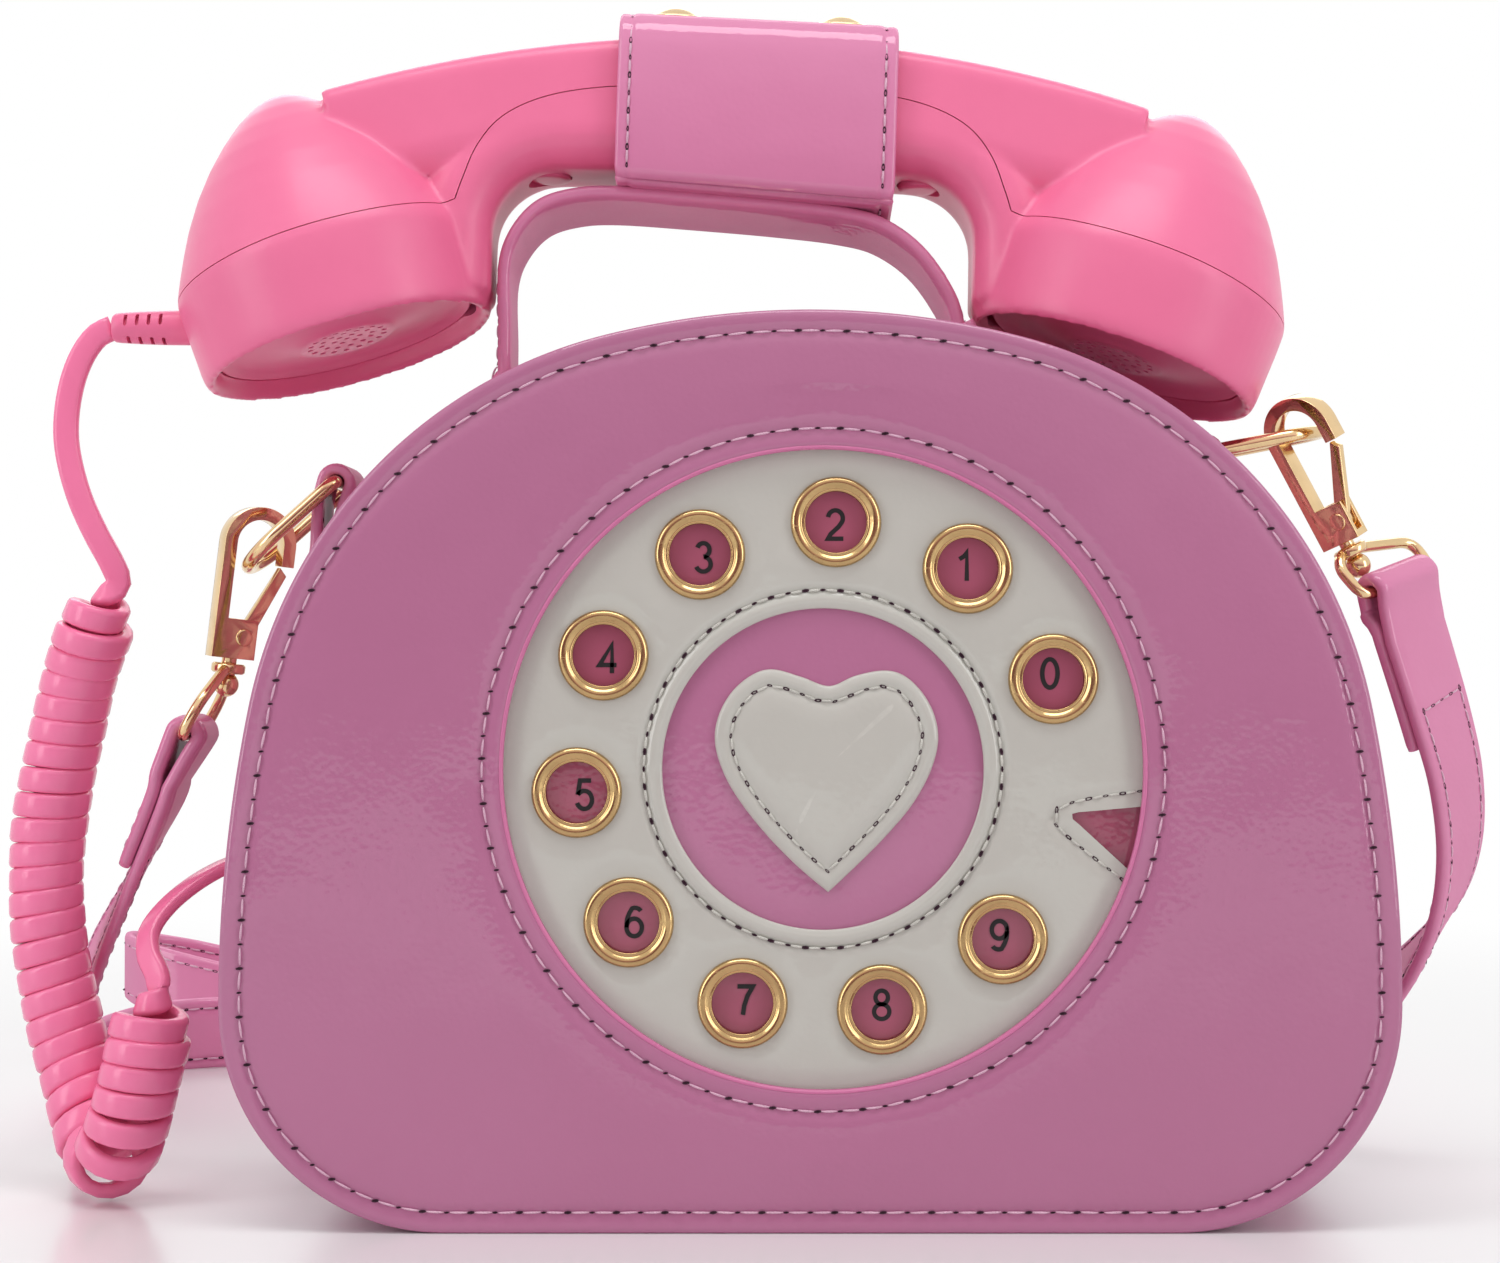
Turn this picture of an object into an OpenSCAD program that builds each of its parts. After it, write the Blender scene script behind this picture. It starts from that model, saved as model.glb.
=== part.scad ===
// Crossbody bag shaped like a rotary telephone, with a corded handset strapped to its handle.
// Origin: middle of the bottom. X runs to the right, Y to the back, Z up.

/* [Bag body] */
// Width of the front and back panels
bag_w = 220; // [185:1:264]
// Height of the front and back panels
bag_h = 171.6; // [143:0.2:206]
// Depth over both panels
bag_d = 80; // [70:1:96]
// Radius of the bottom corners
corner_r = 42; // [30:1:50]
// Radius of the slightly bowed sides
side_r = 280; // [240:5:336]
// Radius of the shoulders
shoulder_r = 89.6; // [75:0.2:100]
// Radius of the crown
crown_r = 157; // [131:1:188]
// Thickness of the stitched panels
panel_t = 2.4; // [2:0.1:3]
// Thickness of the gusset
gusset_t = 2; // [1.6:0.1:2.6]
// How far the panels stand out past the gusset
panel_lip = 1.2; // [0.8:0.1:1.6]
// Thickness of the lining board in each shell
lining_t = 0.8; // [0.5:0.1:1.2]
// Height at which the zip ends on each side
zip_end_z = 30; // [20:1:45]

/* [Dial] */
// Sideways place of the dial's centre
dial_x = 2.4; // [-6:0.1:6]
// Height of the dial's centre above the middle of the panel
dial_rise = 0.3; // [-8:0.1:8]
// Radius of the round window in the front panel
window_r = 59.7; // [54:0.1:62]
// How far the dial ring reaches under the front panel
ring_tuck = 6; // [4:0.5:8]
// Radius of the hole in the dial ring
hub_r = 30; // [25:0.5:33]
// Thickness of the dial ring
ring_t = 1.4; // [1:0.1:2]
// Thickness of the backing behind the dial ring
backing_t = 1.2; // [0.8:0.1:2]
// Radius of the circle that the eyelets stand on
eyelet_circle_r = 46.1; // [44:0.1:48]
// Outer radius of an eyelet
eyelet_r = 8.45; // [7:0.05:9.5]
// Radius of an eyelet's hole
eyelet_hole_r = 5.75; // [4.5:0.05:6.5]
// Number of eyelets
eyelet_count = 10; // [8:1:10]
// Angle between two eyelets
eyelet_step = 32.8; // [32:0.1:34]
// Angle of the first eyelet
eyelet_start = 21.4; // [18:0.1:24]
// Width and height of the heart patch
heart_size = 41.3; // [30:0.1:45]
// Thickness of the heart patch
heart_t = 1.3; // [0.8:0.1:2]

/* [Zip] */
// Width of the zip opening between the gusset edges
zip_w = 8; // [7:0.5:10]
// Distance of the zip's middle from the front face
zip_y = 23; // [20:0.5:30]
// Rest place of the slider, as an angle from the crown's top
slider_deg = -9; // [-11:0.5:-7]
// Length of the pull tab
pull_len = 20; // [14:1:22]

/* [Handle] */
// Thickness of the handle strap
handle_t = 2.6; // [2:0.1:3]
// Width of the handle strap
handle_w = 20; // [16:1:24]
// Distance of the handle's middle from the bag's middle, to the back
handle_y = 2; // [0:0.5:6]
// Height of the handle's top above the crown
handle_rise = 27; // [25:0.5:40]

/* [Handset] */
// Sideways place of the handset's middle
handset_x = -14; // [-20:0.5:0]
// Height of the grip's underside above the handle's top
grip_lift = 5.4; // [5:0.1:9]
// Height of the grip
grip_h = 24; // [20:0.5:28]
// Depth of the grip
grip_d = 27; // [23:0.5:30]
// Radius of the grip's curved top
grip_r = 267; // [220:1:320]
// Distance of each cup's rim centre from the handset's middle
cup_x = 75.2; // [72:0.1:90]
// Drop of each cup's rim centre below the grip's underside
cup_drop = 39; // [36:0.5:46]
// Radius of a cup's rim
cup_rim_r = 28.4; // [24:0.1:31]
// Largest radius of a cup
cup_r = 32; // [30:0.1:34]
// Lean of each cup, outward
cup_lean = 18; // [12:1:22]
// Wall of the handset shells
shell_t = 2.2; // [1.6:0.1:3]
// Roll of the handset towards the front
handset_roll = 6; // [0:1:8]
// Tilt of the handset, right end down
handset_tilt = 1.3; // [0:0.1:3]

/* [Wrap band] */
// Width of the band
band_w = 54.6; // [44:0.2:60]
// Thickness of the band
band_t = 2.2; // [1.6:0.1:2.8]
// Clearance between band and grip
band_gap = 1.4; // [1.2:0.1:2.4]
// Distance between the two snaps
snap_pitch = 33; // [26:1:40]
// Radius of a snap cap
snap_r = 7; // [5:0.5:8]

/* [Side hardware] */
// Distance of the side tabs' middle from the bag's middle, to the back
tab_y = 6; // [2:0.5:12]
// Width of a side tab
tab_w = 17; // [14:0.5:17]
// Thickness of one leather layer of a tab
tab_t = 2.2; // [1.8:0.1:2.6]
// Wire radius of the D-rings
wire_r = 1.4; // [1.1:0.1:1.6]
// Inner width of the D-rings
d_ring_w = 18; // [17.6:0.2:20]
// Length of a D-ring, bar centre to bow centre
d_ring_len = 25; // [22:0.5:27]
// Height of a snap hook
hook_h = 31; // [28:0.5:34]
// Width of a snap hook
hook_w = 15; // [13:0.5:17]
// Width of the hook's cast bar
hook_bar = 2.6; // [2.2:0.1:3]
// Thickness of a snap hook
hook_t = 4; // [3.4:0.1:4.6]
// Width of the shoulder strap
strap_w = 18; // [16:0.5:19]
// Thickness of the shoulder strap
strap_t = 2.6; // [2:0.1:3]

/* [Cord] */
// Outer diameter of the curly cord's coil
coil_d = 15; // [13:0.5:16]
// Width of the flat cord
cord_w = 5; // [4:0.5:5]

/* [Hidden] */
$fn = 40;

mauve = "#c47fae";
mauve_light = "#dfa3c8";
handset_pink = "#f0709f";
off_white = "#dcdad2";
gold = "#cfa75a";

y_front = -bag_d / 2;
y_back = bag_d / 2;
y_zip = y_front + zip_y;
gap = 0.4;

// Outline of the bag: four arcs in each half, tangent to each other
half_w = bag_w / 2;
side_c = [half_w - side_r, corner_r];
crown_c = [0, bag_h - crown_r];
c_span = norm(crown_c - side_c);
c_dir = (crown_c - side_c) / c_span;
reach_side = side_r - shoulder_r;
reach_crown = crown_r - shoulder_r;
c_along = (c_span * c_span + reach_side * reach_side - reach_crown * reach_crown) / (2 * c_span);
c_up = sqrt(max(0, reach_side * reach_side - c_along * c_along));
shoulder_c = side_c + c_along * c_dir + c_up * [-c_dir[1], c_dir[0]];
a_side = atan2(shoulder_c[1] - side_c[1], shoulder_c[0] - side_c[0]);
a_crown = atan2(shoulder_c[1] - crown_c[1], shoulder_c[0] - crown_c[0]);
crown_x = crown_r * cos(a_crown);

function arc(c, r, a0, a1, n) = [for (i = [0:n]) let (a = a0 + (a1 - a0) * i / n) c + r * [cos(a), sin(a)]];
function mirrored(p) = [for (i = [len(p) - 1:-1:0]) [-p[i][0], p[i][1]]];
function half_outline(d) = concat(
    arc([half_w - corner_r, corner_r], corner_r - d, -90, 0, 7),
    arc(side_c, side_r - d, a_side / 4, a_side * 3 / 4, 2),
    arc(shoulder_c, shoulder_r - d, a_side, a_crown, 11),
    arc(crown_c, crown_r - d, a_crown + (90 - a_crown) / 4, 90, 3)
);
function outline(d) = concat(
    half_outline(d),
    mirrored([for (i = [0:len(half_outline(d)) - 2]) half_outline(d)[i]])
);
// Height of the arch at x, and its half width at z, at an inset d
function arch_z(x, d) = abs(x) < crown_x
    ? crown_c[1] + sqrt(pow(crown_r - d, 2) - x * x)
    : shoulder_c[1] + sqrt(pow(shoulder_r - d, 2) - pow(abs(x) - shoulder_c[0], 2));
function shoulder_pt(a, d) = shoulder_c + (shoulder_r - d) * [cos(a), sin(a)];

// A band of thickness t along a path in the XZ plane
function side_of(p, i) = let (
    a = p[max(i - 1, 0)],
    b = p[min(i + 1, len(p) - 1)],
    t = (b - a) / norm(b - a)
) [-t[1], t[0]];
function strip(p, t) = concat(
    [for (i = [0:len(p) - 1]) p[i] + side_of(p, i) * t / 2],
    [for (i = [len(p) - 1:-1:0]) p[i] - side_of(p, i) * t / 2]
);

module along_y(y0, y1) translate([0, y1, 0]) rotate([90, 0, 0]) linear_extrude(y1 - y0) children();
module y_rod(r, y0, y1) translate([0, y1, 0]) rotate([90, 0, 0]) cylinder(r = r, h = y1 - y0);
module rod(a, b, r) {
    v = b - a;
    translate(a)
        rotate([0, acos(v[2] / norm(v)), atan2(v[1], v[0])])
            cylinder(r = r, h = norm(v), $fn = 24);
}
module hoop(d_out, d_in, y0, y1) along_y(y0, y1) difference() {
    polygon(outline(d_out));
    polygon(outline(d_in));
}
module above(z) translate([-bag_w, -bag_d, z]) cube([2 * bag_w, 2 * bag_d, 2 * bag_h]);
module below(z) translate([-bag_w, -bag_d, z - bag_h]) cube([2 * bag_w, 2 * bag_d, bag_h]);

// ---- Rear shell of the bag ----
gusset_in = panel_lip + gusset_t;
zip_half = zip_w / 2;
y_rear_edge = y_zip + zip_half;
y_front_edge = y_zip - zip_half;
cord_hole = [66, 10];
eyelet_bore_r = 3.6;

module back_panel() color(mauve) along_y(y_back - panel_t, y_back) polygon(outline(0));

module rear_gusset() color(mauve_light) difference() {
    union() {
        intersection() {
            hoop(panel_lip, gusset_in, y_rear_edge, y_back - panel_t);
            above(zip_end_z - gap);
        }
        intersection() {
            hoop(panel_lip, gusset_in, y_front + panel_t + gap, y_back - panel_t);
            below(zip_end_z - gap);
        }
    }
    cord_hole_cut();
}
module cord_hole_cut() translate([-half_w - 2, cord_hole[1], cord_hole[0]])
    rotate([0, 90, 0]) cylinder(r = eyelet_bore_r, h = 14);

board_t = 2;
board_w = bag_w - 2 * corner_r;
module base_patch() color(mauve_light) translate([-board_w / 2, y_front + panel_t + gap, 0])
    cube([board_w, bag_d - 2 * panel_t - gap, panel_lip]);
module base_board() color("#8f8a86") translate([-board_w / 2, y_front + panel_t + 3.4, gusset_in])
    cube([board_w, bag_d - 2 * panel_t - 3.4, board_t]);

module rear_lining() color("#e8b9cf") along_y(y_back - panel_t - lining_t, y_back - panel_t)
    polygon(outline(gusset_in + 2.6));

pocket_w = 120;
pocket_h = 70;
pocket_z = 34;
pocket_slack = 3;
module inner_pocket() color("#dca7c1") translate([-pocket_w / 2, y_back - panel_t - lining_t, pocket_z])
    difference() {
        translate([0, -pocket_slack - lining_t, 0]) cube([pocket_w, pocket_slack + lining_t, pocket_h]);
        translate([1.5, -pocket_slack, 1.5]) cube([pocket_w - 3, pocket_slack + 1, pocket_h]);
    }

// ---- Zip between the two shells ----
tape_t = 0.6;
teeth_w = 2;
teeth_gap = 1.2;
teeth_in = gusset_in - 0.7;
teeth_h = 2;
tape_under = 4;
zip_stop_z = zip_end_z + 2;
module zip_tape(y0, y1) intersection() {
    hoop(gusset_in, gusset_in + tape_t, y0, y1);
    above(zip_stop_z);
}
module zip_teeth(y0, y1) intersection() {
    hoop(teeth_in, teeth_in + teeth_h, y0, y1);
    above(zip_stop_z);
}
y_teeth = teeth_gap / 2 + teeth_w;
module zip_tape_rear() color(mauve) zip_tape(y_zip + y_teeth, y_rear_edge + tape_under);
module zip_tape_front() color(mauve) zip_tape(y_front_edge - tape_under, y_zip - y_teeth);
module zip_teeth_rear() color(gold) zip_teeth(y_zip + teeth_gap / 2, y_zip + y_teeth);
module zip_teeth_front() color(gold) zip_teeth(y_zip - y_teeth, y_zip - teeth_gap / 2);

slider_len = 9;
slider_w = zip_w - 0.8;
plate_t = 1;
slider_top = teeth_in - 0.6 - plate_t;
slider_under = teeth_in + teeth_h + 0.5;
lug_h = 2.4;
module at_slider() translate([0, y_zip, crown_c[1]]) rotate([0, slider_deg, 0])
    translate([0, 0, crown_r]) children();
module zip_slider() color(gold) at_slider() {
    for (z = [slider_top, slider_under]) translate([-slider_len / 2, -slider_w / 2, -z - plate_t])
        cube([slider_len, slider_w, plate_t]);
    translate([-slider_len / 2, -0.4, -slider_under - plate_t / 2])
        cube([2.4, 0.8, slider_under - slider_top]);
    for (s = [-1, 1]) difference() {
        translate([-1.6, s * 2.2 - 0.5, -slider_top - 0.2]) cube([3.2, 1, lug_h + 0.2]);
        translate([0, 0, lug_h - slider_top - 1.2]) y_rod(0.65, s * 2.2 - 1, s * 2.2 + 1);
    }
}
pull_w = 6.4;
pull_t = 1.2;
module zip_pull() color(gold) at_slider() translate([0, 0, lug_h - slider_top - 1.2]) {
    y_rod(0.6, -2.75, 2.75);
    difference() {
        translate([0, -1.5, -pull_t / 2]) cube([4, 3, pull_t]);
        translate([-1, -3, -3]) cube([0.9, 6, 6]);
    }
    difference() {
        translate([3.5, -pull_w / 2, -pull_t / 2]) cube([pull_len - 3.5, pull_w, pull_t]);
        translate([pull_len - 4.5, 0, -2]) cylinder(r = 2.1, h = 4);
    }
}

// ---- Front cover ----
y_ring = y_front + panel_t;
y_backing = y_ring + ring_t;
y_front_lining = y_backing + backing_t;
ring_r = window_r + ring_tuck;
dial_z = bag_h / 2 + dial_rise;
module at_dial() translate([dial_x, 0, dial_z]) children();
module front_panel() color(mauve) difference() {
    along_y(y_front, y_front + panel_t) polygon(outline(0));
    at_dial() y_rod(window_r, y_front - 1, y_front + panel_t + 1);
}
module front_gusset() color(mauve_light) intersection() {
    hoop(panel_lip, gusset_in, y_front + panel_t, y_front_edge);
    above(zip_end_z);
}
module front_lining() color("#e8b9cf") along_y(y_front_lining, y_front_lining + lining_t)
    polygon(outline(gusset_in + 2.6));

// Cut in the ring for the finger stop: apex, upper and lower ends
notch = [[46.5, -8.6], [62, -6.4], [60, -19.5]];
module dial_ring() color(off_white) at_dial() difference() {
    y_rod(ring_r, y_ring, y_ring + ring_t);
    y_rod(hub_r, y_ring - 1, y_ring + ring_t + 1);
    for (i = [0:eyelet_count - 1]) at_eyelet(i) y_rod(eyelet_hole_r + 0.8, y_ring - 1, y_ring + ring_t + 1);
    along_y(y_ring - 1, y_ring + ring_t + 1) polygon(notch);
}
module at_eyelet(i) {
    a = eyelet_start + i * eyelet_step;
    translate([eyelet_circle_r * cos(a), 0, eyelet_circle_r * sin(a)]) children();
}
module dial_backing() color("#b5507f") at_dial() y_rod(ring_r, y_backing, y_backing + backing_t);
flange_t = 0.9;
module dial_eyelets() color(gold) at_dial() for (i = [0:eyelet_count - 1]) at_eyelet(i) difference() {
    union() {
        y_rod(eyelet_r, y_ring - flange_t, y_ring);
        y_rod(eyelet_hole_r + 0.8, y_ring - flange_t, y_ring + ring_t);
    }
    y_rod(eyelet_hole_r, y_ring - flange_t - 1, y_ring + ring_t + 1);
}
// Heart: two lobes and a curved point, as a closed formula
function heart(s) = [for (i = [0:47]) let (t = i * 7.5)
    s / 32 * [16 * pow(sin(t), 3), 13 * cos(t) - 5 * cos(2 * t) - 2 * cos(3 * t) - cos(4 * t)]];
heart_pos = [1, 0.5];
heart_tall = 1.1;
module heart_patch() color(off_white) at_dial() translate([heart_pos[0], 0, heart_pos[1]])
    along_y(y_backing - heart_t, y_backing) scale([1, heart_tall]) polygon(heart(heart_size));

// ---- Handle ----
handle_top = bag_h + handle_rise;
leg_left = -59.6;
leg_right = 31;
foot_len = 20;
foot_in = panel_lip - handle_t / 2 - 0.2;
function foot(x0, x1, n) = [for (i = [0:n]) let (x = x0 + (x1 - x0) * i / n) [x, arch_z(x, foot_in)]];
handle_path = concat(
    foot(leg_left - foot_len, leg_left - 2, 5),
    [
        [leg_left, arch_z(leg_left, foot_in) + 3.6],
        [leg_left, handle_top - 15],
        [leg_left + 2, handle_top - 8.4],
        [leg_left + 6.4, handle_top - 3.6],
        [leg_left + 13, handle_top - handle_t / 2],
        [-6, handle_top - handle_t / 2],
        [7, handle_top - 2],
        [15.5, handle_top - 5],
        [22.5, handle_top - 11.4],
        [28.4, handle_top - 20],
        [leg_right, arch_z(leg_right, foot_in) + 3.6]
    ],
    foot(leg_right + 2, leg_right + foot_len, 5)
);
module at_handle_y() translate([0, handle_y, 0]) children();
module handle_strap() color(mauve_light) at_handle_y()
    along_y(-handle_w / 2, handle_w / 2) polygon(strip(handle_path, handle_t));
rivet_r = 2.8;
rivet_xs = [leg_left - foot_len + 5, leg_left - foot_len + 13, leg_right + 8, leg_right + foot_len - 4];
function arch_slope(x) = abs(x) < crown_x
    ? asin(x / crown_r)
    : asin((x - sign(x) * shoulder_c[0]) / shoulder_r);
module handle_rivets() color(gold) for (x = rivet_xs) for (s = [-1, 1])
    translate([x, handle_y + s * 5, arch_z(x, panel_lip)]) rotate([0, arch_slope(x), 0])
        translate([0, 0, handle_t + 0.25]) cylinder(r = rivet_r, h = 1, $fn = 24);

// ---- Handset ----
grip_z = handle_top + grip_lift;
module at_handset() translate([handset_x, handle_y, grip_z + grip_h / 2]) rotate([-handset_roll, 0, 0])
    rotate([0, handset_tilt, 0]) translate([0, 0, -grip_h / 2]) children();
grip_c = grip_h - grip_r;
function round_box(x0, x1, hy, r) = concat(
    arc([x1 - r, hy - r], r, 0, 90, 5), arc([x0 + r, hy - r], r, 90, 180, 5),
    arc([x0 + r, r - hy], r, 180, 270, 5), arc([x1 - r, r - hy], r, 270, 360, 5)
);
grip_half_deg = asin((cup_x + 6) / (grip_r - grip_h / 2));
module grip(o) translate([0, 0, grip_c]) rotate([90, 0, 0]) rotate([0, 0, 90 - grip_half_deg])
    rotate_extrude(angle = 2 * grip_half_deg, $fn = 120)
        polygon(round_box(grip_r - grip_h + o, grip_r - o, grip_d / 2 - o, 8 - o));
belt_h = 15;
dome_h = 37;
module at_cup(s) translate([s * cup_x, 0, -cup_drop]) rotate([0, s * cup_lean, 0]) children();
function cup_profile(o) = concat(
    [[0, -1], [cup_rim_r - o, -1], [cup_rim_r - o, 0]],
    [for (t = [30, 60]) [cup_rim_r + (cup_r - cup_rim_r) * sin(t) - o, belt_h * (1 - cos(t))]],
    [for (t = [0:9:81]) [(cup_r - o) * pow(cos(t), 1.5), belt_h + (dome_h - o) * pow(sin(t), 1.5)]],
    [[0, belt_h + dome_h - o]]
);
function cup_cut(o) = concat(
    [[0, 0], [cup_rim_r - o, 0]],
    [for (i = [3:len(cup_profile(o)) - 1]) cup_profile(o)[i]]
);
module cup(s, o) at_cup(s) rotate_extrude($fn = 64) polygon(o > 0 ? cup_profile(o) : cup_cut(0));
// Neck between the grip and a cup, with a round inner corner
neck_r = 13;
neck_x = cup_x - 27.5;
module neck(s, o) along_y(o - grip_d / 2, grip_d / 2 - o) scale([s, 1]) polygon(concat(
    arc([neck_x - neck_r, -neck_r], neck_r + o, 88, 4, 6),
    [
        [neck_x + o, -neck_r - 6], [cup_x - 8, -neck_r - 6], [cup_x + 2, 6],
        [cup_x - 8, 14], [neck_x - neck_r, 14]
    ]
));
module handset_mass(o) {
    grip(o);
    for (s = [-1, 1]) {
        cup(s, o);
        neck(s, o);
    }
}
// Side of the parting line that the lower shell takes
part_out = [cup_x + 40, -cup_drop + 3];
part_in = [neck_x + 6, -cup_drop + 28];
part_path = [
    [-part_out[0], part_out[1]], [-part_in[0], part_in[1]], [-part_in[0] + 2, -4], [-neck_x + 6, 7],
    [-24, 12], [24, 12], [neck_x - 6, 7], [part_in[0] - 2, -4], part_in, part_out
];
module parting_region() along_y(-60, 60)
    polygon(concat(part_path, [[part_out[0], -120], [-part_out[0], -120]]));
// Underside of the grip at a distance u from its middle
function grip_under(u) = grip_c + sqrt(pow(grip_r - grip_h, 2) - u * u);
cap_u = 36.7;
cap_round = 4.2;
cap_low = grip_under(cap_u);
cap_clear = 0.15;
screw_r = 1.5;
screw_head_r = 2.8;
screw_head_h = 1.4;
ledge_z = cap_low + shell_t;
ledge_t = 1.4;
board_z = cap_low + shell_t + 4;
module cap_hole(s) translate([s * cap_u, 0, cap_low - 4])
    cylinder(r = cap_round + cap_clear, h = shell_t + 6);
module handset_walls() difference() {
    handset_mass(0);
    handset_mass(shell_t);
}
module handset_lower_shell() color(handset_pink) difference() {
    at_handset() {
        difference() {
            intersection() {
                handset_walls();
                parting_region();
            }
            for (s = [-1, 1]) cap_hole(s);
        }
        difference() {
            translate([-cap_u, 0, ledge_z - 0.6]) cylinder(r = cap_round + 1.4, h = ledge_t + 0.6);
            translate([-cap_u, 0, ledge_z - 1]) cylinder(r = screw_r + 0.2, h = ledge_t + 2);
            translate([-cap_u, 0, ledge_z - 1]) cylinder(r = cap_round + cap_clear, h = 1);
        }
        for (u = board_posts) translate([u, 0, grip_under(u) + 1])
            cylinder(r = 1.4, h = board_z - grip_under(u) - 1);
    }
    relief_bore();
}
boss_r = 3.2;
module handset_upper_shell() color(handset_pink) difference() {
    at_handset() {
        difference() {
            handset_walls();
            parting_region();
        }
        difference() {
            translate([-cap_u, 0, ledge_z + ledge_t + 0.1])
                cylinder(r = boss_r, h = grip_h - ledge_z - ledge_t - shell_t - 1.6);
            translate([-cap_u, 0, ledge_z]) cylinder(r = screw_r + 0.05, h = 15);
        }
    }
    relief_bore();
}
board_posts = [cap_u - 9, cap_u + 9];
module circuit_board() color("#3f7d52") at_handset() {
    translate([cap_u - 13, -6, board_z]) cube([26, 12, 1.2]);
    translate([cap_u - 2.5, -2.5, board_z - 2.2]) cube([5, 5, 2.2]);
}
cap_t = 1.6;
cap_in = 4;
cap_r = cup_rim_r;
hole_rings = [[0, 1], [4, 6], [8, 12]];
module speaking_cap(s) color(handset_pink) at_handset() at_cup(s) difference() {
    translate([0, 0, cap_in]) cylinder(r = cap_r, h = cap_t, $fn = 64);
    for (ring = hole_rings) for (i = [0:ring[1] - 1]) rotate([0, 0, i * 360 / ring[1]])
        translate([ring[0], 0, cap_in - 1]) cylinder(r = 0.8, h = cap_t + 2, $fn = 16);
}
module earpiece_cap() speaking_cap(-1);
module mouthpiece_cap() speaking_cap(1);
module earpiece_speaker() color("#4a4a4a") at_handset() at_cup(-1) translate([0, 0, cap_in + cap_t]) {
    cylinder(r = 14, h = 2.4);
    translate([0, 0, 2.4]) cylinder(r = 8, h = 3);
}
module microphone() color("#4a4a4a") at_handset() at_cup(1) translate([0, 0, cap_in + cap_t])
    cylinder(r = 4.8, h = 3.6);
plug_proud = 0.3;
module screw_cap() color(handset_pink) at_handset() translate([-cap_u, 0, cap_low - plug_proud])
    cylinder(r = cap_round, h = plug_proud + shell_t - screw_head_h - 0.1);
press_travel = 0.6;
module answer_button() color(handset_pink) at_handset()
    translate([cap_u, 0, cap_low - plug_proud - press_travel])
        cylinder(r = cap_round, h = board_z - 2.3 - cap_low + plug_proud);
module handset_screw() color("#9a9a9a") at_handset() translate([-cap_u, 0, ledge_z - screw_head_h]) {
    cylinder(r = screw_head_r, h = screw_head_h, $fn = 32);
    cylinder(r = screw_r, h = screw_head_h + 13, $fn = 32);
}

relief_len = 15;
relief_r = 2.8;
relief_at = [-123, handle_y - 4, bag_h + 0.6];
relief_root_r = relief_r + 0.6;
relief_in = 5;
module relief_bore() translate(relief_at) rotate([0, -90, 0]) translate([0, 0, -relief_in - 1])
    cylinder(r = relief_root_r + 0.05, h = relief_in + 8, $fn = 32);
module strain_relief() color(handset_pink) translate(relief_at) rotate([0, -90, 0]) {
    translate([0, 0, -relief_in]) cylinder(r = relief_root_r, h = relief_in + 2, $fn = 32);
    translate([0, 0, 1]) cylinder(r1 = relief_root_r, r2 = relief_r, h = relief_len - 1, $fn = 32);
    for (i = [0:3]) translate([0, 0, 3 + i * 3]) cylinder(r = relief_r + 0.8, h = 1.4, $fn = 32);
}

// ---- Wrap band: fixed sling behind, opening flap in front ----
band_x = -9.9;
band_in_y = grip_d / 2 + band_gap;
band_out_y = band_in_y + band_t;
band_low = handle_top;
band_top = grip_z + grip_h + band_gap - 0.2;
overlap = 12;
lift_gap = 1.2;
module band_box(y0, y1, z0, z1) translate([band_x - band_w / 2, handle_y + y0, z0])
    cube([band_w, y1 - y0, z1 - z0]);
module band_sling() color(mauve_light) {
    band_box(-band_in_y + gap, band_out_y, band_low, band_low + band_t);
    band_box(band_in_y, band_out_y, band_low, band_top + band_t);
    band_box(-6, band_out_y, band_top, band_top + band_t);
}
stud_y = -0.5;
module at_snaps() for (s = [-1, 1]) translate([band_x + s * snap_pitch / 2, handle_y + stud_y, 0]) children();
module band_studs() color(gold) at_snaps() translate([0, 0, band_top + band_t])
    cylinder(r = 2.4, h = 0.9, $fn = 24);
flap_z = band_top + band_t + lift_gap;
module band_flap() color(mauve_light) difference() {
    union() {
        band_box(-band_out_y, -band_in_y, band_low, flap_z + band_t);
        band_box(-band_out_y, overlap - 3, flap_z, flap_z + band_t);
    }
    at_snaps() translate([0, 0, flap_z - 1]) cylinder(r = 1.6, h = band_t + 2, $fn = 24);
}
module flap_snap_caps() color(gold) at_snaps() {
    translate([0, 0, flap_z + band_t]) cylinder(r = snap_r, h = 1.2);
    translate([0, 0, flap_z + 0.4]) cylinder(r = 1.6, h = band_t, $fn = 24);
}

// ---- Side tabs and D-rings ----
d_half = d_ring_w / 2 + wire_r;
module d_ring() {
    y_rod(wire_r + 0.1, -d_half - wire_r, d_half + wire_r);
    for (s = [-1, 1]) rod([0, s * d_half, 0], [d_ring_len - d_half, s * d_half, 0], wire_r);
    translate([d_ring_len - d_half, 0, 0]) rotate([0, 0, -90]) rotate_extrude(angle = 180)
        translate([d_half, 0]) circle(r = wire_r, $fn = 24);
}
left_tab_lean = a_side + 6.5;
tab_len = 45;
left_tab_foot = [-shoulder_pt(a_side, panel_lip - 0.75)[0], shoulder_pt(a_side, panel_lip)[1]];
lug_r = wire_r + 0.18;
fold_r = lug_r + tab_t;
right_tab_deg = 47;
right_tab_low = 20;
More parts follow.
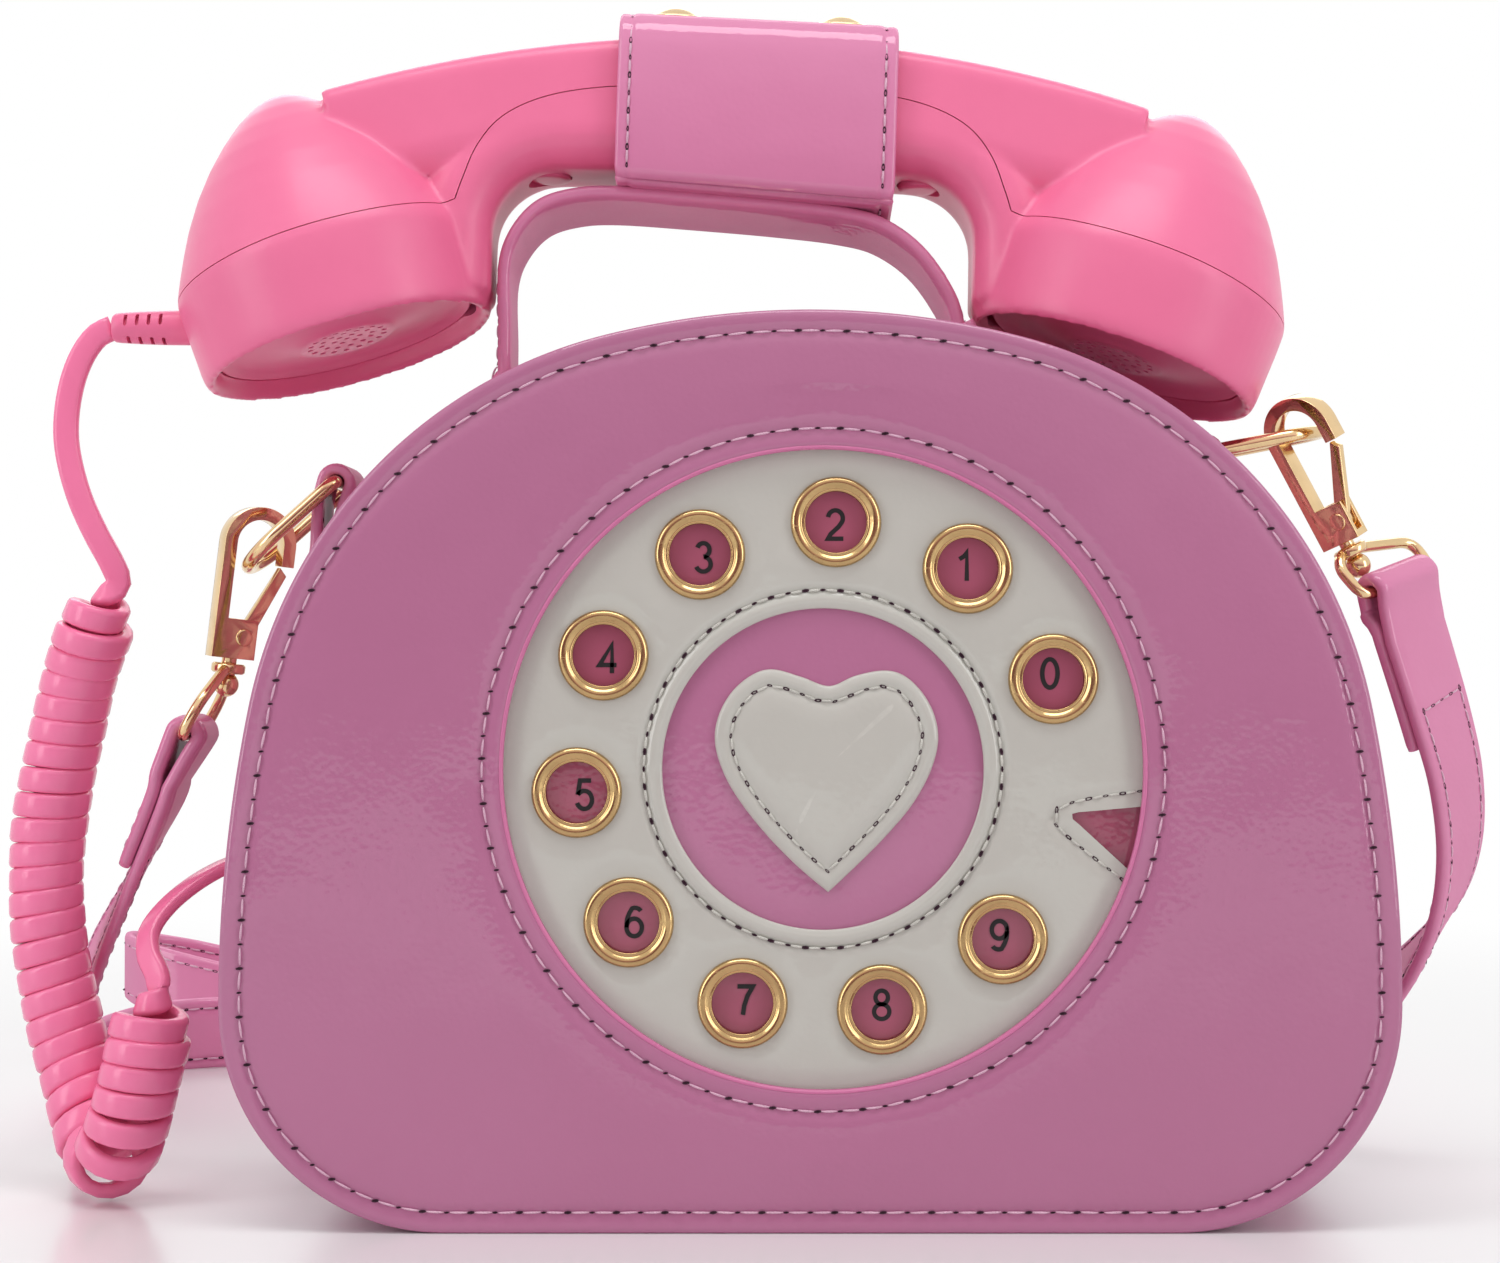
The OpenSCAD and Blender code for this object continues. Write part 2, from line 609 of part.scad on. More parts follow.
// Bar centres, seen from the front
left_tab_dir = [sin(left_tab_lean), cos(left_tab_lean)];
left_tab_out = [-cos(left_tab_lean), sin(left_tab_lean)];
left_bar = left_tab_foot + left_tab_dir * tab_len + left_tab_out * fold_r;
right_bar = shoulder_pt(right_tab_deg, panel_lip - fold_r);
module tab_fold() difference() {
    circle(r = fold_r);
    circle(r = lug_r);
}
module side_tabs() color(mauve_light) translate([0, tab_y, 0]) {
    along_y(-tab_w / 2, tab_w / 2) {
        difference() {
            union() {
                translate(left_bar) circle(r = fold_r);
                polygon([
                    left_tab_foot,
                    left_bar - left_tab_out * fold_r,
                    left_bar + left_tab_out * fold_r,
                    left_bar + left_tab_out * fold_r - left_tab_dir * 28,
                    left_bar - left_tab_out * (fold_r - 2 * tab_t) - left_tab_dir * 29,
                    left_tab_foot + left_tab_out * tab_t - left_tab_dir * 4,
                    left_tab_foot - left_tab_dir * 4 + left_tab_out * 0.9
                ]);
            }
            translate(left_bar) circle(r = lug_r);
        }
    }
    along_y(-tab_w / 2, tab_w / 2) difference() {
        union() {
            translate(right_bar) circle(r = fold_r);
            polygon(concat(
                arc(shoulder_c, shoulder_r - panel_lip + 0.1, right_tab_low, right_tab_deg, 8),
                arc(shoulder_c, shoulder_r - panel_lip + 2 * fold_r, right_tab_deg, right_tab_deg - 1, 1),
                arc(shoulder_c, shoulder_r - panel_lip + 2 * tab_t, right_tab_deg - 4, right_tab_low, 7)
            ));
        }
        translate(right_bar) circle(r = lug_r);
    }
}
left_d_deg = 138;
right_d_deg = -11;
module left_d_ring() color(gold) translate([left_bar[0], tab_y, left_bar[1]])
    rotate([0, left_d_deg, 0]) d_ring();
module right_d_ring() color(gold) translate([right_bar[0], tab_y, right_bar[1]])
    rotate([0, right_d_deg, 0]) d_ring();

// ---- Snap hooks ----
eye_r = hook_w / 2 - hook_bar;
bow_z = hook_h - hook_w / 2;
block_h = 8;
block_w = 9;
pin_at = [-1.2, 4.4];
pin_r = 0.8;
post_r = 1.5;
post_len = 5.4;
ball_r = 2.5;
slot_t = 2.1;
module hook_body() color(gold) {
    difference() {
        along_y(-hook_t / 2, hook_t / 2) {
            translate([-hook_w / 2, 0]) square([hook_bar, bow_z]);
            translate([-hook_w / 2, 0]) square([block_w, block_h]);
            translate([hook_w / 2 - hook_bar, bow_z - 4]) square([hook_bar, 4]);
            intersection() {
                translate([0, bow_z]) difference() {
                    circle(r = hook_w / 2);
                    circle(r = eye_r);
                }
                translate([-hook_w, bow_z]) square([2 * hook_w, hook_w]);
            }
        }
        translate([-3.6, -slot_t / 2, 1.4]) cube([block_w, slot_t, block_h]);
        translate([pin_at[0], 0, pin_at[1]]) y_rod(pin_r, -hook_t, hook_t);
    }
    translate([-hook_w / 2 + block_w / 2, 0, 0]) {
        translate([0, 0, -post_len]) cylinder(r = post_r, h = post_len + 0.5, $fn = 24);
        translate([0, 0, -post_len]) sphere(r = ball_r, $fn = 24);
    }
}
module hook_pin() color(gold) translate([pin_at[0], 0, pin_at[1]])
    y_rod(pin_r, -hook_t / 2 - 0.2, hook_t / 2 + 0.2);
gate_t = 1.7;
gate_tip = [hook_w / 2 - hook_bar / 2, bow_z - 4.5];
gate_dir = (gate_tip - pin_at) / norm(gate_tip - pin_at);
gate_out = [gate_dir[1], -gate_dir[0]];
module hook_gate() color(gold) difference() {
    union() {
        translate([pin_at[0], 0, pin_at[1]]) y_rod(2.2, -gate_t / 2, gate_t / 2);
        along_y(-gate_t / 2, gate_t / 2) polygon([
            pin_at - gate_out * 1.2, pin_at + gate_out * 1.8,
            gate_tip + gate_out * 1 - gate_dir * 1, gate_tip - gate_out * 1.2 - gate_dir * 0.2
        ]);
    }
    translate([pin_at[0], 0, pin_at[1]]) y_rod(pin_r + 0.06, -gate_t, gate_t);
}
// Place of each hook: the foot of its block, lean in the front view and turn about its own axis
post_x = -hook_w / 2 + block_w / 2;
left_hook_at = [left_bar[0] - 22.6, tab_y, left_bar[1] - 35];
left_hook_lean = 7;
left_hook_turn = 30;
right_hook_at = [right_bar[0] + 28.4, tab_y - 5.5, right_bar[1] - 17.6];
right_hook_lean = -28;
right_hook_turn = -45;
module hook_place(at, lean, turn) translate(at) rotate([0, lean, 0]) rotate([0, 0, turn])
    translate([-post_x, 0, 0]) children();
module at_left_hook() hook_place(left_hook_at, left_hook_lean, left_hook_turn) children();
module at_right_hook() hook_place(right_hook_at, right_hook_lean, right_hook_turn) children();
module left_hook() at_left_hook() hook_body();
module left_hook_pin() at_left_hook() hook_pin();
module left_hook_gate() at_left_hook() hook_gate();
module right_hook() at_right_hook() hook_body();
module right_hook_pin() at_right_hook() hook_pin();
module right_hook_gate() at_right_hook() hook_gate();

// Strap ring: a collar that turns on the post, two legs and a bar through the strap's fold
collar_r = 3.4;
collar_h = 2;
collar_z = -3.1;
ring_wire = 1.1;
ring_half = strap_w / 2 + 2;
function turn_y(v, a) = [v[0] * cos(a) + v[2] * sin(a), v[1], -v[0] * sin(a) + v[2] * cos(a)];
left_bar_at = left_hook_at + [-7.6, 0, -15.4];
right_bar_at = right_hook_at + [10.4, 0, -8.2];
left_bar_dir = [0, 1, 0];
right_bar_dir = [0.42, -0.9, 0.1] / norm([0.42, -0.9, 0.1]);
module strap_ring(at, lean, bar_at, bar_dir) {
    c = at + turn_y([0, 0, collar_z + collar_h / 2], lean);
    leg_up = unit((c - bar_at) - ((c - bar_at) * bar_dir) * bar_dir);
    bar_half = bar_dir * (ring_half + ring_wire);
    difference() {
        union() {
            translate(at) rotate([0, lean, 0]) translate([0, 0, collar_z])
                cylinder(r = collar_r, h = collar_h, $fn = 32);
            for (s = [-1, 1]) {
                bar_end = bar_at + s * bar_dir * ring_half;
                rod(c + s * bar_dir * 2.3, bar_end + leg_up * 5.2, ring_wire);
                rod(bar_end + leg_up * 5.7, bar_end, ring_wire + 0.06);
            }
            rod(bar_at - bar_half, bar_at + bar_half, ring_wire + 0.1);
        }
        translate(at) rotate([0, lean, 0]) translate([0, 0, collar_z - 0.5])
            cylinder(r = post_r + 0.08, h = collar_h + 1, $fn = 32);
    }
}
module strap_rings() color(gold) {
    strap_ring(left_hook_at, left_hook_lean, left_bar_at, left_bar_dir);
    strap_ring(right_hook_at, right_hook_lean, right_bar_at, right_bar_dir);
}

// ---- Shoulder strap: a flat band swept along chosen points ----
// Each entry: place of the middle line, then the direction of the band's width
// The free points move with the bag's sides and back, and with the bars that the ends hang from
strap_aside = bag_w / 2 - 110;
strap_behind = bag_d / 2 - 40;
left_hang = left_bar_at[2] / 91.104577;
right_hang = right_bar_at[2] / 121.544023;
function beside(p, s) = [
    p[0] + s * strap_aside,
    p[1] + strap_behind * min(1, p[1] / 60),
    p[2] < 25 ? p[2] : p[2] * (s < 0 ? left_hang : right_hang)
];
strap_route = [
    [left_bar_at + [-2.6, 0, -4.6], left_bar_dir],
    [beside([-128, 7, 78], -1), [0, 1, 0]],
    [beside([-137, 12, 61], -1), [-0.1, 0.97, 0.2]],
    [beside([-147, 21, 43], -1), [-0.15, 0.85, 0.5]],
    [beside([-154, 38, 27], -1), [-0.1, 0.6, 0.8]],
    [beside([-160, 64, 15], -1), [0, 0.25, 0.97]],
    [beside([-166, 95, 10], -1), [0, 0, 1]],
    [beside([-168, 128, 9.2], -1), [0, 0, 1]],
    [beside([-158, 154, 9.2], -1), [0, 0, 1]],
    [beside([-130, 164, 9.2], -1), [0, 0, 1]],
    [beside([-95, 164, 9.2], -1), [0, 0, 1]],
    [beside([-74, 168, 9.2], -1), [0, 0, 1]],
    [beside([-66, 178, 9.2], -1), [0, 0, 1]],
    [beside([-76, 188, 9.2], -1), [0, 0, 1]],
    [beside([-105, 190, 9.2], -1), [0, 0, 1]],
    [beside([-140, 191, 12], -1), [0, 0, 1]],
    [beside([-170, 196, 18], -1), [0, 0, 1]],
    [beside([-181, 208, 21], -1), [0, 0, 1]],
    [beside([-170, 220, 18], -1), [0, 0, 1]],
    [beside([-140, 226, 12], -1), [0, 0, 1]],
    [beside([-80, 228, 9.2], -1), [0, 0, 1]],
    [beside([0, 229, 9.2], 0), [0, 0, 1]],
    [beside([72, 222, 9.2], 1), [0, 0, 1]],
    [beside([114, 200, 9.2], 1), [0, 0, 1]],
    [beside([128, 165, 9.2], 1), [0, 0, 1]],
    [beside([122, 125, 9.2], 1), [0, 0, 1]],
    [beside([108, 92, 10], 1), [0, 0.1, 0.99]],
    [beside([101, 68, 14], 1), [0, -0.3, 0.95]],
    [beside([109.5, 52, 21], 1), [0.1, -0.6, 0.8]],
    [beside([118, 36, 30.5], 1), [0.3, -0.75, 0.5]],
    [beside([126, 24.5, 42], 1), [0.4, -0.85, 0.3]],
    [beside([131, 15, 54], 1), [0.45, -0.87, 0.15]],
    [beside([133, 10, 67], 1), [0.45, -0.88, 0.1]],
    [beside([131.5, 6, 81], 1), [0.45, -0.88, 0.1]],
    [beside([127.5, 3, 95], 1), [0.45, -0.88, 0.1]],
    [right_bar_at + [2.4, 0, -4.6], right_bar_dir]
];
function spline(a, b, c, d, t) = 0.5 * (2 * b + (c - a) * t + (2 * a - 5 * b + 4 * c - d) * t * t
    + (3 * b - a - 3 * c + d) * t * t * t);
last_leg = len(strap_route) - 1;
function route_at(k, i, t) = spline(
    strap_route[max(i - 1, 0)][k], strap_route[i][k],
    strap_route[i + 1][k], strap_route[min(i + 2, last_leg)][k], t
);
strap_steps = 2;
strap_line = concat(
    [for (i = [0:last_leg - 1]) for (j = [0:strap_steps - 1]) route_at(0, i, j / strap_steps)],
    [strap_route[last_leg][0]]
);
strap_wide = concat(
    [for (i = [0:last_leg - 1]) for (j = [0:strap_steps - 1]) route_at(1, i, j / strap_steps)],
    [strap_route[last_leg][1]]
);
function unit(v) = v / norm(v);
function tangent(p, i) = unit(p[min(i + 1, len(p) - 1)] - p[max(i - 1, 0)]);
function band_ring(i) = let (
    t = tangent(strap_line, i),
    w = unit(strap_wide[i] - (strap_wide[i] * t) * t),
    n = cross(t, w),
    p = strap_line[i],
    a = w * strap_w / 2,
    b = n * strap_t / 2
) [p + a + b, p - a + b, p - a - b, p + a - b];
function tube_faces(rings, sides) = concat(
    [for (i = [0:rings - 2]) for (j = [0:sides - 1]) let (
        a = i * sides + j,
        b = i * sides + (j + 1) % sides
    ) each [[a, b, b + sides], [a, b + sides, a + sides]]],
    [[for (j = [sides - 1:-1:0]) j]],
    [[for (j = [0:sides - 1]) (rings - 1) * sides + j]]
);
module shoulder_strap() color(mauve_light) polyhedron(
    points = [for (i = [0:len(strap_line) - 1]) each band_ring(i)],
    faces = tube_faces(len(strap_line), 4)
);
fold_out = ring_wire + 0.2 + strap_t;
module strap_fold(bar_at, bar_dir, down) {
    n = unit(cross(bar_dir, down));
    m = [
        [down[0], bar_dir[0], n[0], bar_at[0]],
        [down[1], bar_dir[1], n[1], bar_at[1]],
        [down[2], bar_dir[2], n[2], bar_at[2]],
        [0, 0, 0, 1]
    ];
    multmatrix(m) difference() {
        y_rod(fold_out, -strap_w / 2, strap_w / 2);
        y_rod(ring_wire + 0.2, -strap_w, strap_w);
    }
}
module strap_folds() color(mauve_light) {
    strap_fold(left_bar_at, left_bar_dir, unit([-0.49, 0, -0.87]));
    strap_fold(right_bar_at, right_bar_dir, unit(cross(right_bar_dir, [0.9, 0.42, 0])));
}

// ---- Curly cord ----
cord_r = cord_w / 2;
upper_route = [
    [-138, -2, 172.2], [-141, -2.4, 170.6], [-143.6, -2.8, 167],
    [-145.6, -3, 162], [-146.8, -3, 156], [-147, -3, 150],
    [-146, -3, 144], [-144, -3, 137.5], [-141, -3, 131],
    [-138, -3, 125.5], [-136.6, -3, 121.6], [-138.4, -3, 118.6]
];
coil_route = [
    [-138.4, -3, 118.6], [-141.6, -2, 112], [-145, 0, 103], [-147.5, 1, 93], [-150, 1.5, 82], [-151.8, 2, 71],
    [-152.2, 2, 60], [-151.6, 2, 50], [-150, 2, 40.5], [-147.8, 1.5, 31], [-145, 0, 22.5], [-142, -3, 15],
    [-139.4, -6.5, 9.6], [-136.4, -10, 9], [-133.6, -13, 13], [-131.4, -14.4, 19], [-129.6, -14.6, 26],
    [-128, -14.4, 33], [-126.4, -14, 40]
];
lower_route = [
    [-126.4, -14, 40], [-127, -12, 44.6], [-129.4, -9, 48.4],
    [-130, -5, 52.6], [-127.4, -1, 57], [-123, 3, 61],
    [-118, 7, 64], [-113, 9.4, 65.6], [-109, 10, 66]
];
function ring_axes(t) = let (u = unit(cross(t, abs(t[1]) < 0.9 ? [0, 1, 0] : [1, 0, 0]))) [u, cross(t, u)];
function round_ring(p, i, r, n) = let (ax = ring_axes(tangent(p, i)))
    [for (j = [0:n - 1]) p[i] + r * (cos(j * 360 / n) * ax[0] + sin(j * 360 / n) * ax[1])];
module tube(p, r, n) polyhedron(
    points = [for (i = [0:len(p) - 1]) each round_ring(p, i, r, n)],
    faces = tube_faces(len(p), n)
);
module cord_upper() color(handset_pink) tube(upper_route, cord_r, 8);
module cord_coil() color(handset_pink) tube(coil_route, coil_d / 2, 12);
module cord_lower() color(handset_pink) tube(lower_route, cord_r, 8);
eyelet_in_r = cord_r + 0.3;
module cord_eyelet() color(gold) translate([-half_w, cord_hole[1], cord_hole[0]]) rotate([0, 90, 0])
    difference() {
        translate([0, 0, panel_lip - 0.7]) {
            cylinder(r = eyelet_bore_r + 2, h = 0.9);
            cylinder(r = eyelet_bore_r - 0.05, h = gusset_t + 3);
        }
        translate([0, 0, -3]) cylinder(r = eyelet_in_r, h = 20);
    }

back_panel();
rear_gusset();
base_patch();
base_board();
rear_lining();
inner_pocket();
zip_tape_rear();
zip_teeth_rear();
side_tabs();
handle_strap();
handle_rivets();
band_sling();
band_studs();
handset_upper_shell();
handset_lower_shell();
earpiece_cap();
mouthpiece_cap();
earpiece_speaker();
microphone();
handset_screw();
screw_cap();
circuit_board();
strain_relief();
cord_upper();
cord_coil();
cord_lower();
cord_eyelet();
shoulder_strap();
strap_folds();
strap_rings();
front_panel();
front_gusset();
front_lining();
dial_ring();
dial_backing();
dial_eyelets();
heart_patch();
zip_tape_front();
zip_teeth_front();
zip_slider();
zip_pull();
band_flap();
flap_snap_caps();
answer_button();
left_d_ring();
right_d_ring();
left_hook();
left_hook_pin();
left_hook_gate();
right_hook();
right_hook_pin();
right_hook_gate();
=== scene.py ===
import bisect
import math
import random

import bmesh
import bpy
from mathutils import Matrix, Vector, kdtree, noise


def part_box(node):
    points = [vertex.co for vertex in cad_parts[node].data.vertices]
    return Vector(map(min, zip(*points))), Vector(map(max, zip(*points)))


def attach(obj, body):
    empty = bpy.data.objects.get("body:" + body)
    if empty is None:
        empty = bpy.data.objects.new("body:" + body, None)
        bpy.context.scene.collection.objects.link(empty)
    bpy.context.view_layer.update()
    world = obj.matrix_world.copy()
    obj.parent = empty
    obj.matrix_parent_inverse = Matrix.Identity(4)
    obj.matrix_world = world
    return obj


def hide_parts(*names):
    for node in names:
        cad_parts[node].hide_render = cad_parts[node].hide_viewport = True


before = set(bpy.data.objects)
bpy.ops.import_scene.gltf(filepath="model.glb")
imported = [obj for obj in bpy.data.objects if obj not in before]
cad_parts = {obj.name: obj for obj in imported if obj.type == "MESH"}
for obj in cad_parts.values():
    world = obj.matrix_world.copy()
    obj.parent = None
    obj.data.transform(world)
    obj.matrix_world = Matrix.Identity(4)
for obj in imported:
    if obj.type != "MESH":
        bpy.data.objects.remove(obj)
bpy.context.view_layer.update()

# Telephone bag: patent leather body, dial front, corded handset in a wrap band, hooked-on shoulder strap.
# X to the right, Y to the back, Z up. Lengths in the dictionaries are millimetres.

scene = bpy.context.scene
scene.view_settings.view_transform = "Standard"
random.seed(7)


def report(stage):
    print("bag:", stage)


def mm(*values):
    return Vector(values) / 1000


# small mesh tools

def addMesh(name, verts, faces, smooth=True):
    mesh = bpy.data.meshes.new(name)
    mesh.from_pydata([tuple(v) for v in verts], [], faces)
    mesh.validate()
    mesh.update()
    if smooth:
        mesh.polygons.foreach_set("use_smooth", [True] * len(mesh.polygons))
    thing = bpy.data.objects.new(name, mesh)
    scene.collection.objects.link(thing)
    return thing


def tidyNormals(thing):
    bm = bmesh.new()
    bm.from_mesh(thing.data)
    bmesh.ops.recalc_face_normals(bm, faces=bm.faces)
    bm.to_mesh(thing.data)
    bm.free()
    return thing


def applyAll(thing):
    # leaves the evaluated mesh in place of the modifiers
    graph = bpy.context.evaluated_depsgraph_get()
    graph.update()
    mesh = bpy.data.meshes.new_from_object(thing.evaluated_get(graph), depsgraph=graph)
    thing.modifiers.clear()
    thing.data = mesh
    return thing


def stack(verts, faces, loops, firstCap=True):
    # adds a row of equal closed loops to a growing mesh, capped at its ends
    start, count = len(verts), len(loops[0])
    for loop in loops:
        verts.extend(loop)
    for k in range(len(loops) - 1):
        for j in range(count):
            a, b = start + k * count + j, start + k * count + (j + 1) % count
            faces.append((a, b, b + count, a + count))
    if firstCap:
        faces.append(tuple(start + j for j in reversed(range(count))))
    faces.append(tuple(start + (len(loops) - 1) * count + j for j in range(count)))


def modifier(thing, kind, **settings):
    made = thing.modifiers.new(kind.lower(), kind)
    for key, value in settings.items():
        setattr(made, key, value)
    return made


def rings(name, loops, closed=True, capEnds=True, wrap=False):
    # skins a row of equal point loops; closed joins each loop, wrap joins the last loop to the first
    count = len(loops[0])
    verts = [p for loop in loops for p in loop]
    faces = []
    for i in range(len(loops) - (0 if wrap else 1)):
        a, b = i * count, (i + 1) % len(loops) * count
        for j in range(count - (0 if closed else 1)):
            k = (j + 1) % count
            faces.append((a + j, a + k, b + k, b + j))
    if capEnds and closed and not wrap:
        faces.append(tuple(reversed(range(count))))
        faces.append(tuple((len(loops) - 1) * count + j for j in range(count)))
    return addMesh(name, verts, faces)


def spline(points, steps):
    # smooth line through the points, with each point's own number of steps
    line = []
    last = len(points) - 1
    for i in range(last):
        a, b = points[max(i - 1, 0)], points[i]
        c, d = points[i + 1], points[min(i + 2, last)]
        for j in range(steps):
            t = j / steps
            line.append(0.5 * (2 * b + (c - a) * t + (2 * a - 5 * b + 4 * c - d) * t * t
                               + (3 * b - a - 3 * c + d) * t ** 3))
    line.append(points[last].copy())
    return line


def lengths(line):
    run = [0.0]
    for a, b in zip(line, line[1:]):
        run.append(run[-1] + (b - a).length)
    return run


def resample(line, step, closed=False):
    # points a fixed distance apart along a line; a closed line takes a whole number of them
    if closed:
        line = list(line) + [line[0]]
    run = lengths(line)
    count = max(2, round(run[-1] / step))
    out = []
    k = 0
    for i in range(count + (0 if closed else 1)):
        s = run[-1] * i / count
        while k < len(run) - 2 and run[k + 1] < s:
            k += 1
        span = run[k + 1] - run[k]
        out.append(line[k].lerp(line[k + 1], 0 if span == 0 else (s - run[k]) / span))
    return out


def tangents(line, closed=False):
    n = len(line)
    out = []
    for i in range(n):
        a = line[(i - 1) % n] if closed else line[max(i - 1, 0)]
        b = line[(i + 1) % n] if closed else line[min(i + 1, n - 1)]
        out.append((b - a).normalized())
    return out


def carriedFrames(line, first):
    # a normal carried along the line without twisting about it
    out = []
    normal = first
    for t in tangents(line):
        normal = (normal - t * normal.dot(t)).normalized()
        out.append((t, normal, t.cross(normal)))
    return out


def roundedSection(width, thick, edge, steps=4):
    # closed section, width along u and thickness along v, with rounded edges
    points = []
    for cu, cv, start in ((1, 1, 0), (-1, 1, 90), (-1, -1, 180), (1, -1, 270)):
        for k in range(steps + 1):
            a = math.radians(start + 90 * k / steps)
            points.append((cu * (width / 2 - edge) + edge * math.cos(a),
                           cv * (thick / 2 - edge) + edge * math.sin(a)))
    return points


def smoothStep(low, high, value):
    t = min(1, max(0, (value - low) / (high - low)))
    return t * t * (3 - 2 * t)


# camera, lamps and stage

viewpoint = {"place": (-11.2, -560.0, 111.0), "lens": 67.3, "sensor": 36.0, "shiftUp": 0.0027}
camera = bpy.data.objects.new("camera", bpy.data.cameras.new("camera"))
camera.location = mm(*viewpoint["place"])
camera.rotation_euler = (math.pi / 2, 0, 0)
camera.data.lens = viewpoint["lens"]
camera.data.sensor_width = viewpoint["sensor"]
camera.data.shift_y = viewpoint["shiftUp"]
camera.data.clip_start = 0.01
scene.collection.objects.link(camera)
scene.camera = camera

lamps = {
    "overheadSoftbox": {"place": (0, -260, 1050), "aim": (0, 0, 120), "size": (0.8, 0.35), "watts": 4.2},
    "leftSoftbox": {"place": (-900, -520, 420), "aim": (-20, 0, 120), "size": (0.35, 0.8), "watts": 2.6},
    "rightSoftbox": {"place": (900, -560, 400), "aim": (20, 0, 110), "size": (0.35, 0.8), "watts": 2.6},
    "backSoftbox": {"place": (0, 900, 800), "aim": (0, 0, 140), "size": (1.4, 0.5), "watts": 3.6},
}
for lampName, spec in lamps.items():
    lamp = bpy.data.lights.new(lampName, "AREA")
    lamp.shape = "RECTANGLE"
    lamp.size, lamp.size_y = spec["size"]
    lamp.energy = spec["watts"]
    holder = bpy.data.objects.new(lampName, lamp)
    holder.location = mm(*spec["place"])
    aim = mm(*spec["aim"]) - holder.location
    holder.rotation_euler = aim.to_track_quat("-Z", "Y").to_euler()
    scene.collection.objects.link(holder)


def nodeTree(owner):
    # an empty node tree for a material or a world
    owner.use_nodes = True
    owner.node_tree.nodes.clear()
    return owner.node_tree


def linkOrSet(tree, socket, value):
    if isinstance(value, bpy.types.NodeSocket):
        tree.links.new(value, socket)
    else:
        socket.default_value = value


def add(tree, kind, inputs=None, **settings):
    node = tree.nodes.new(kind)
    for key, value in settings.items():
        setattr(node, key, value)
    for key, value in (inputs or {}).items():
        linkOrSet(tree, node.inputs[key], value)
    return node


def math2(tree, operation, a, b, clamp=False):
    return add(tree, "ShaderNodeMath", {0: a, 1: b}, operation=operation, use_clamp=clamp).outputs[0]


def ranged(tree, value, low, high, outLow, outHigh, **settings):
    return add(tree, "ShaderNodeMapRange", {"Value": value, "From Min": low, "From Max": high, "To Min": outLow,
                                            "To Max": outHigh}, **settings).outputs["Result"]


def seenAsBackground(tree):
    # 1 for rays from the camera, from a reflection or through glass
    path = add(tree, "ShaderNodeLightPath").outputs
    direct = math2(tree, "MAXIMUM", path["Is Camera Ray"], path["Is Glossy Ray"])
    return math2(tree, "MAXIMUM", direct, path["Is Transmission Ray"])


def newPaint(name, thing):
    # a bare material on a stage piece
    paint = bpy.data.materials.new(name)
    thing.data.materials.append(paint)
    tree = nodeTree(paint)
    return tree, add(tree, "ShaderNodeOutputMaterial").inputs[0], add(tree, "ShaderNodeTexCoord").outputs["Object"]


stageLook = {"lightStrength": 0.5, "lightColor": (1.0, 0.99, 0.985, 1), "white": (1, 1, 1, 1),
             "floorColor": (0.86, 0.86, 0.865, 1), "floorRough": 0.22, "floorGloss": 0.35, "floorRadius": 3.0,
             "floorSides": 96, "fadeFrom": 0.30, "fadeTo": 0.62}
world = bpy.data.worlds.new("studio")
scene.world = world
sky = nodeTree(world)
lit = add(sky, "ShaderNodeBackground", {"Color": stageLook["lightColor"], "Strength": stageLook["lightStrength"]})
white = add(sky, "ShaderNodeBackground", {"Color": stageLook["white"], "Strength": 1.0})
mixed = add(sky, "ShaderNodeMixShader", {0: seenAsBackground(sky), 1: lit.outputs[0], 2: white.outputs[0]})
add(sky, "ShaderNodeOutputWorld", {0: mixed.outputs[0]})

floorVerts, floorFaces = [Vector((0, 0, 0))], []
for i in range(stageLook["floorSides"]):
    turn = 2 * math.pi * i / stageLook["floorSides"]
    floorVerts.append(Vector((math.cos(turn), math.sin(turn), 0)) * stageLook["floorRadius"])
    floorFaces.append((0, 1 + i, 1 + (i + 1) % stageLook["floorSides"]))
floor = addMesh("studioFloor", floorVerts, floorFaces)
tree, paintOut, spot = newPaint("floorPaint", floor)
surface = add(tree, "ShaderNodeBsdfPrincipled", {"Base Color": stageLook["floorColor"],
                                                 "Roughness": stageLook["floorRough"],
                                                 "Specular IOR Level": stageLook["floorGloss"]})
glow = add(tree, "ShaderNodeEmission", {"Color": stageLook["white"]})
far = add(tree, "ShaderNodeVectorMath", {0: spot}, operation="LENGTH").outputs["Value"]
fade = ranged(tree, far, stageLook["fadeFrom"], stageLook["fadeTo"], 0.0, 1.0, interpolation_type="SMOOTHSTEP")
seen = math2(tree, "MULTIPLY", fade, seenAsBackground(tree))
mixed = add(tree, "ShaderNodeMixShader", {0: seen, 1: surface.outputs[0], 2: glow.outputs[0]})
tree.links.new(mixed.outputs[0], paintOut)

# a rosy card behind the camera, seen only in reflections, gives gloss and metal something to show
cardLook = {"y": -1.35, "halfWidth": 1.5, "height": 1.3, "low": (0.24, 0.11, 0.15, 1), "high": (0.62, 0.40, 0.46, 1),
            "bright": (1.0, 0.86, 0.9, 1), "highAt": 0.45, "lean": 0.22, "cloudSize": 1.3, "cloud": 0.5,
            "fadeFrom": 0.2, "fadeTo": 1.3}
card = addMesh("rosyCard", [Vector((x * cardLook["halfWidth"], cardLook["y"], z * cardLook["height"]))
                            for x, z in ((-1, 0), (1, 0), (1, 1), (-1, 1))], [(0, 1, 2, 3)], False)
tree, paintOut, spot = newPaint("cardPaint", card)
parts = add(tree, "ShaderNodeSeparateXYZ", {0: spot}).outputs
cloud = add(tree, "ShaderNodeTexNoise", {"Vector": spot, "Scale": cardLook["cloudSize"]}).outputs["Fac"]
height = add(tree, "ShaderNodeMath", {0: parts["X"], 1: cardLook["lean"], 2: parts["Z"]}, operation="MULTIPLY_ADD")
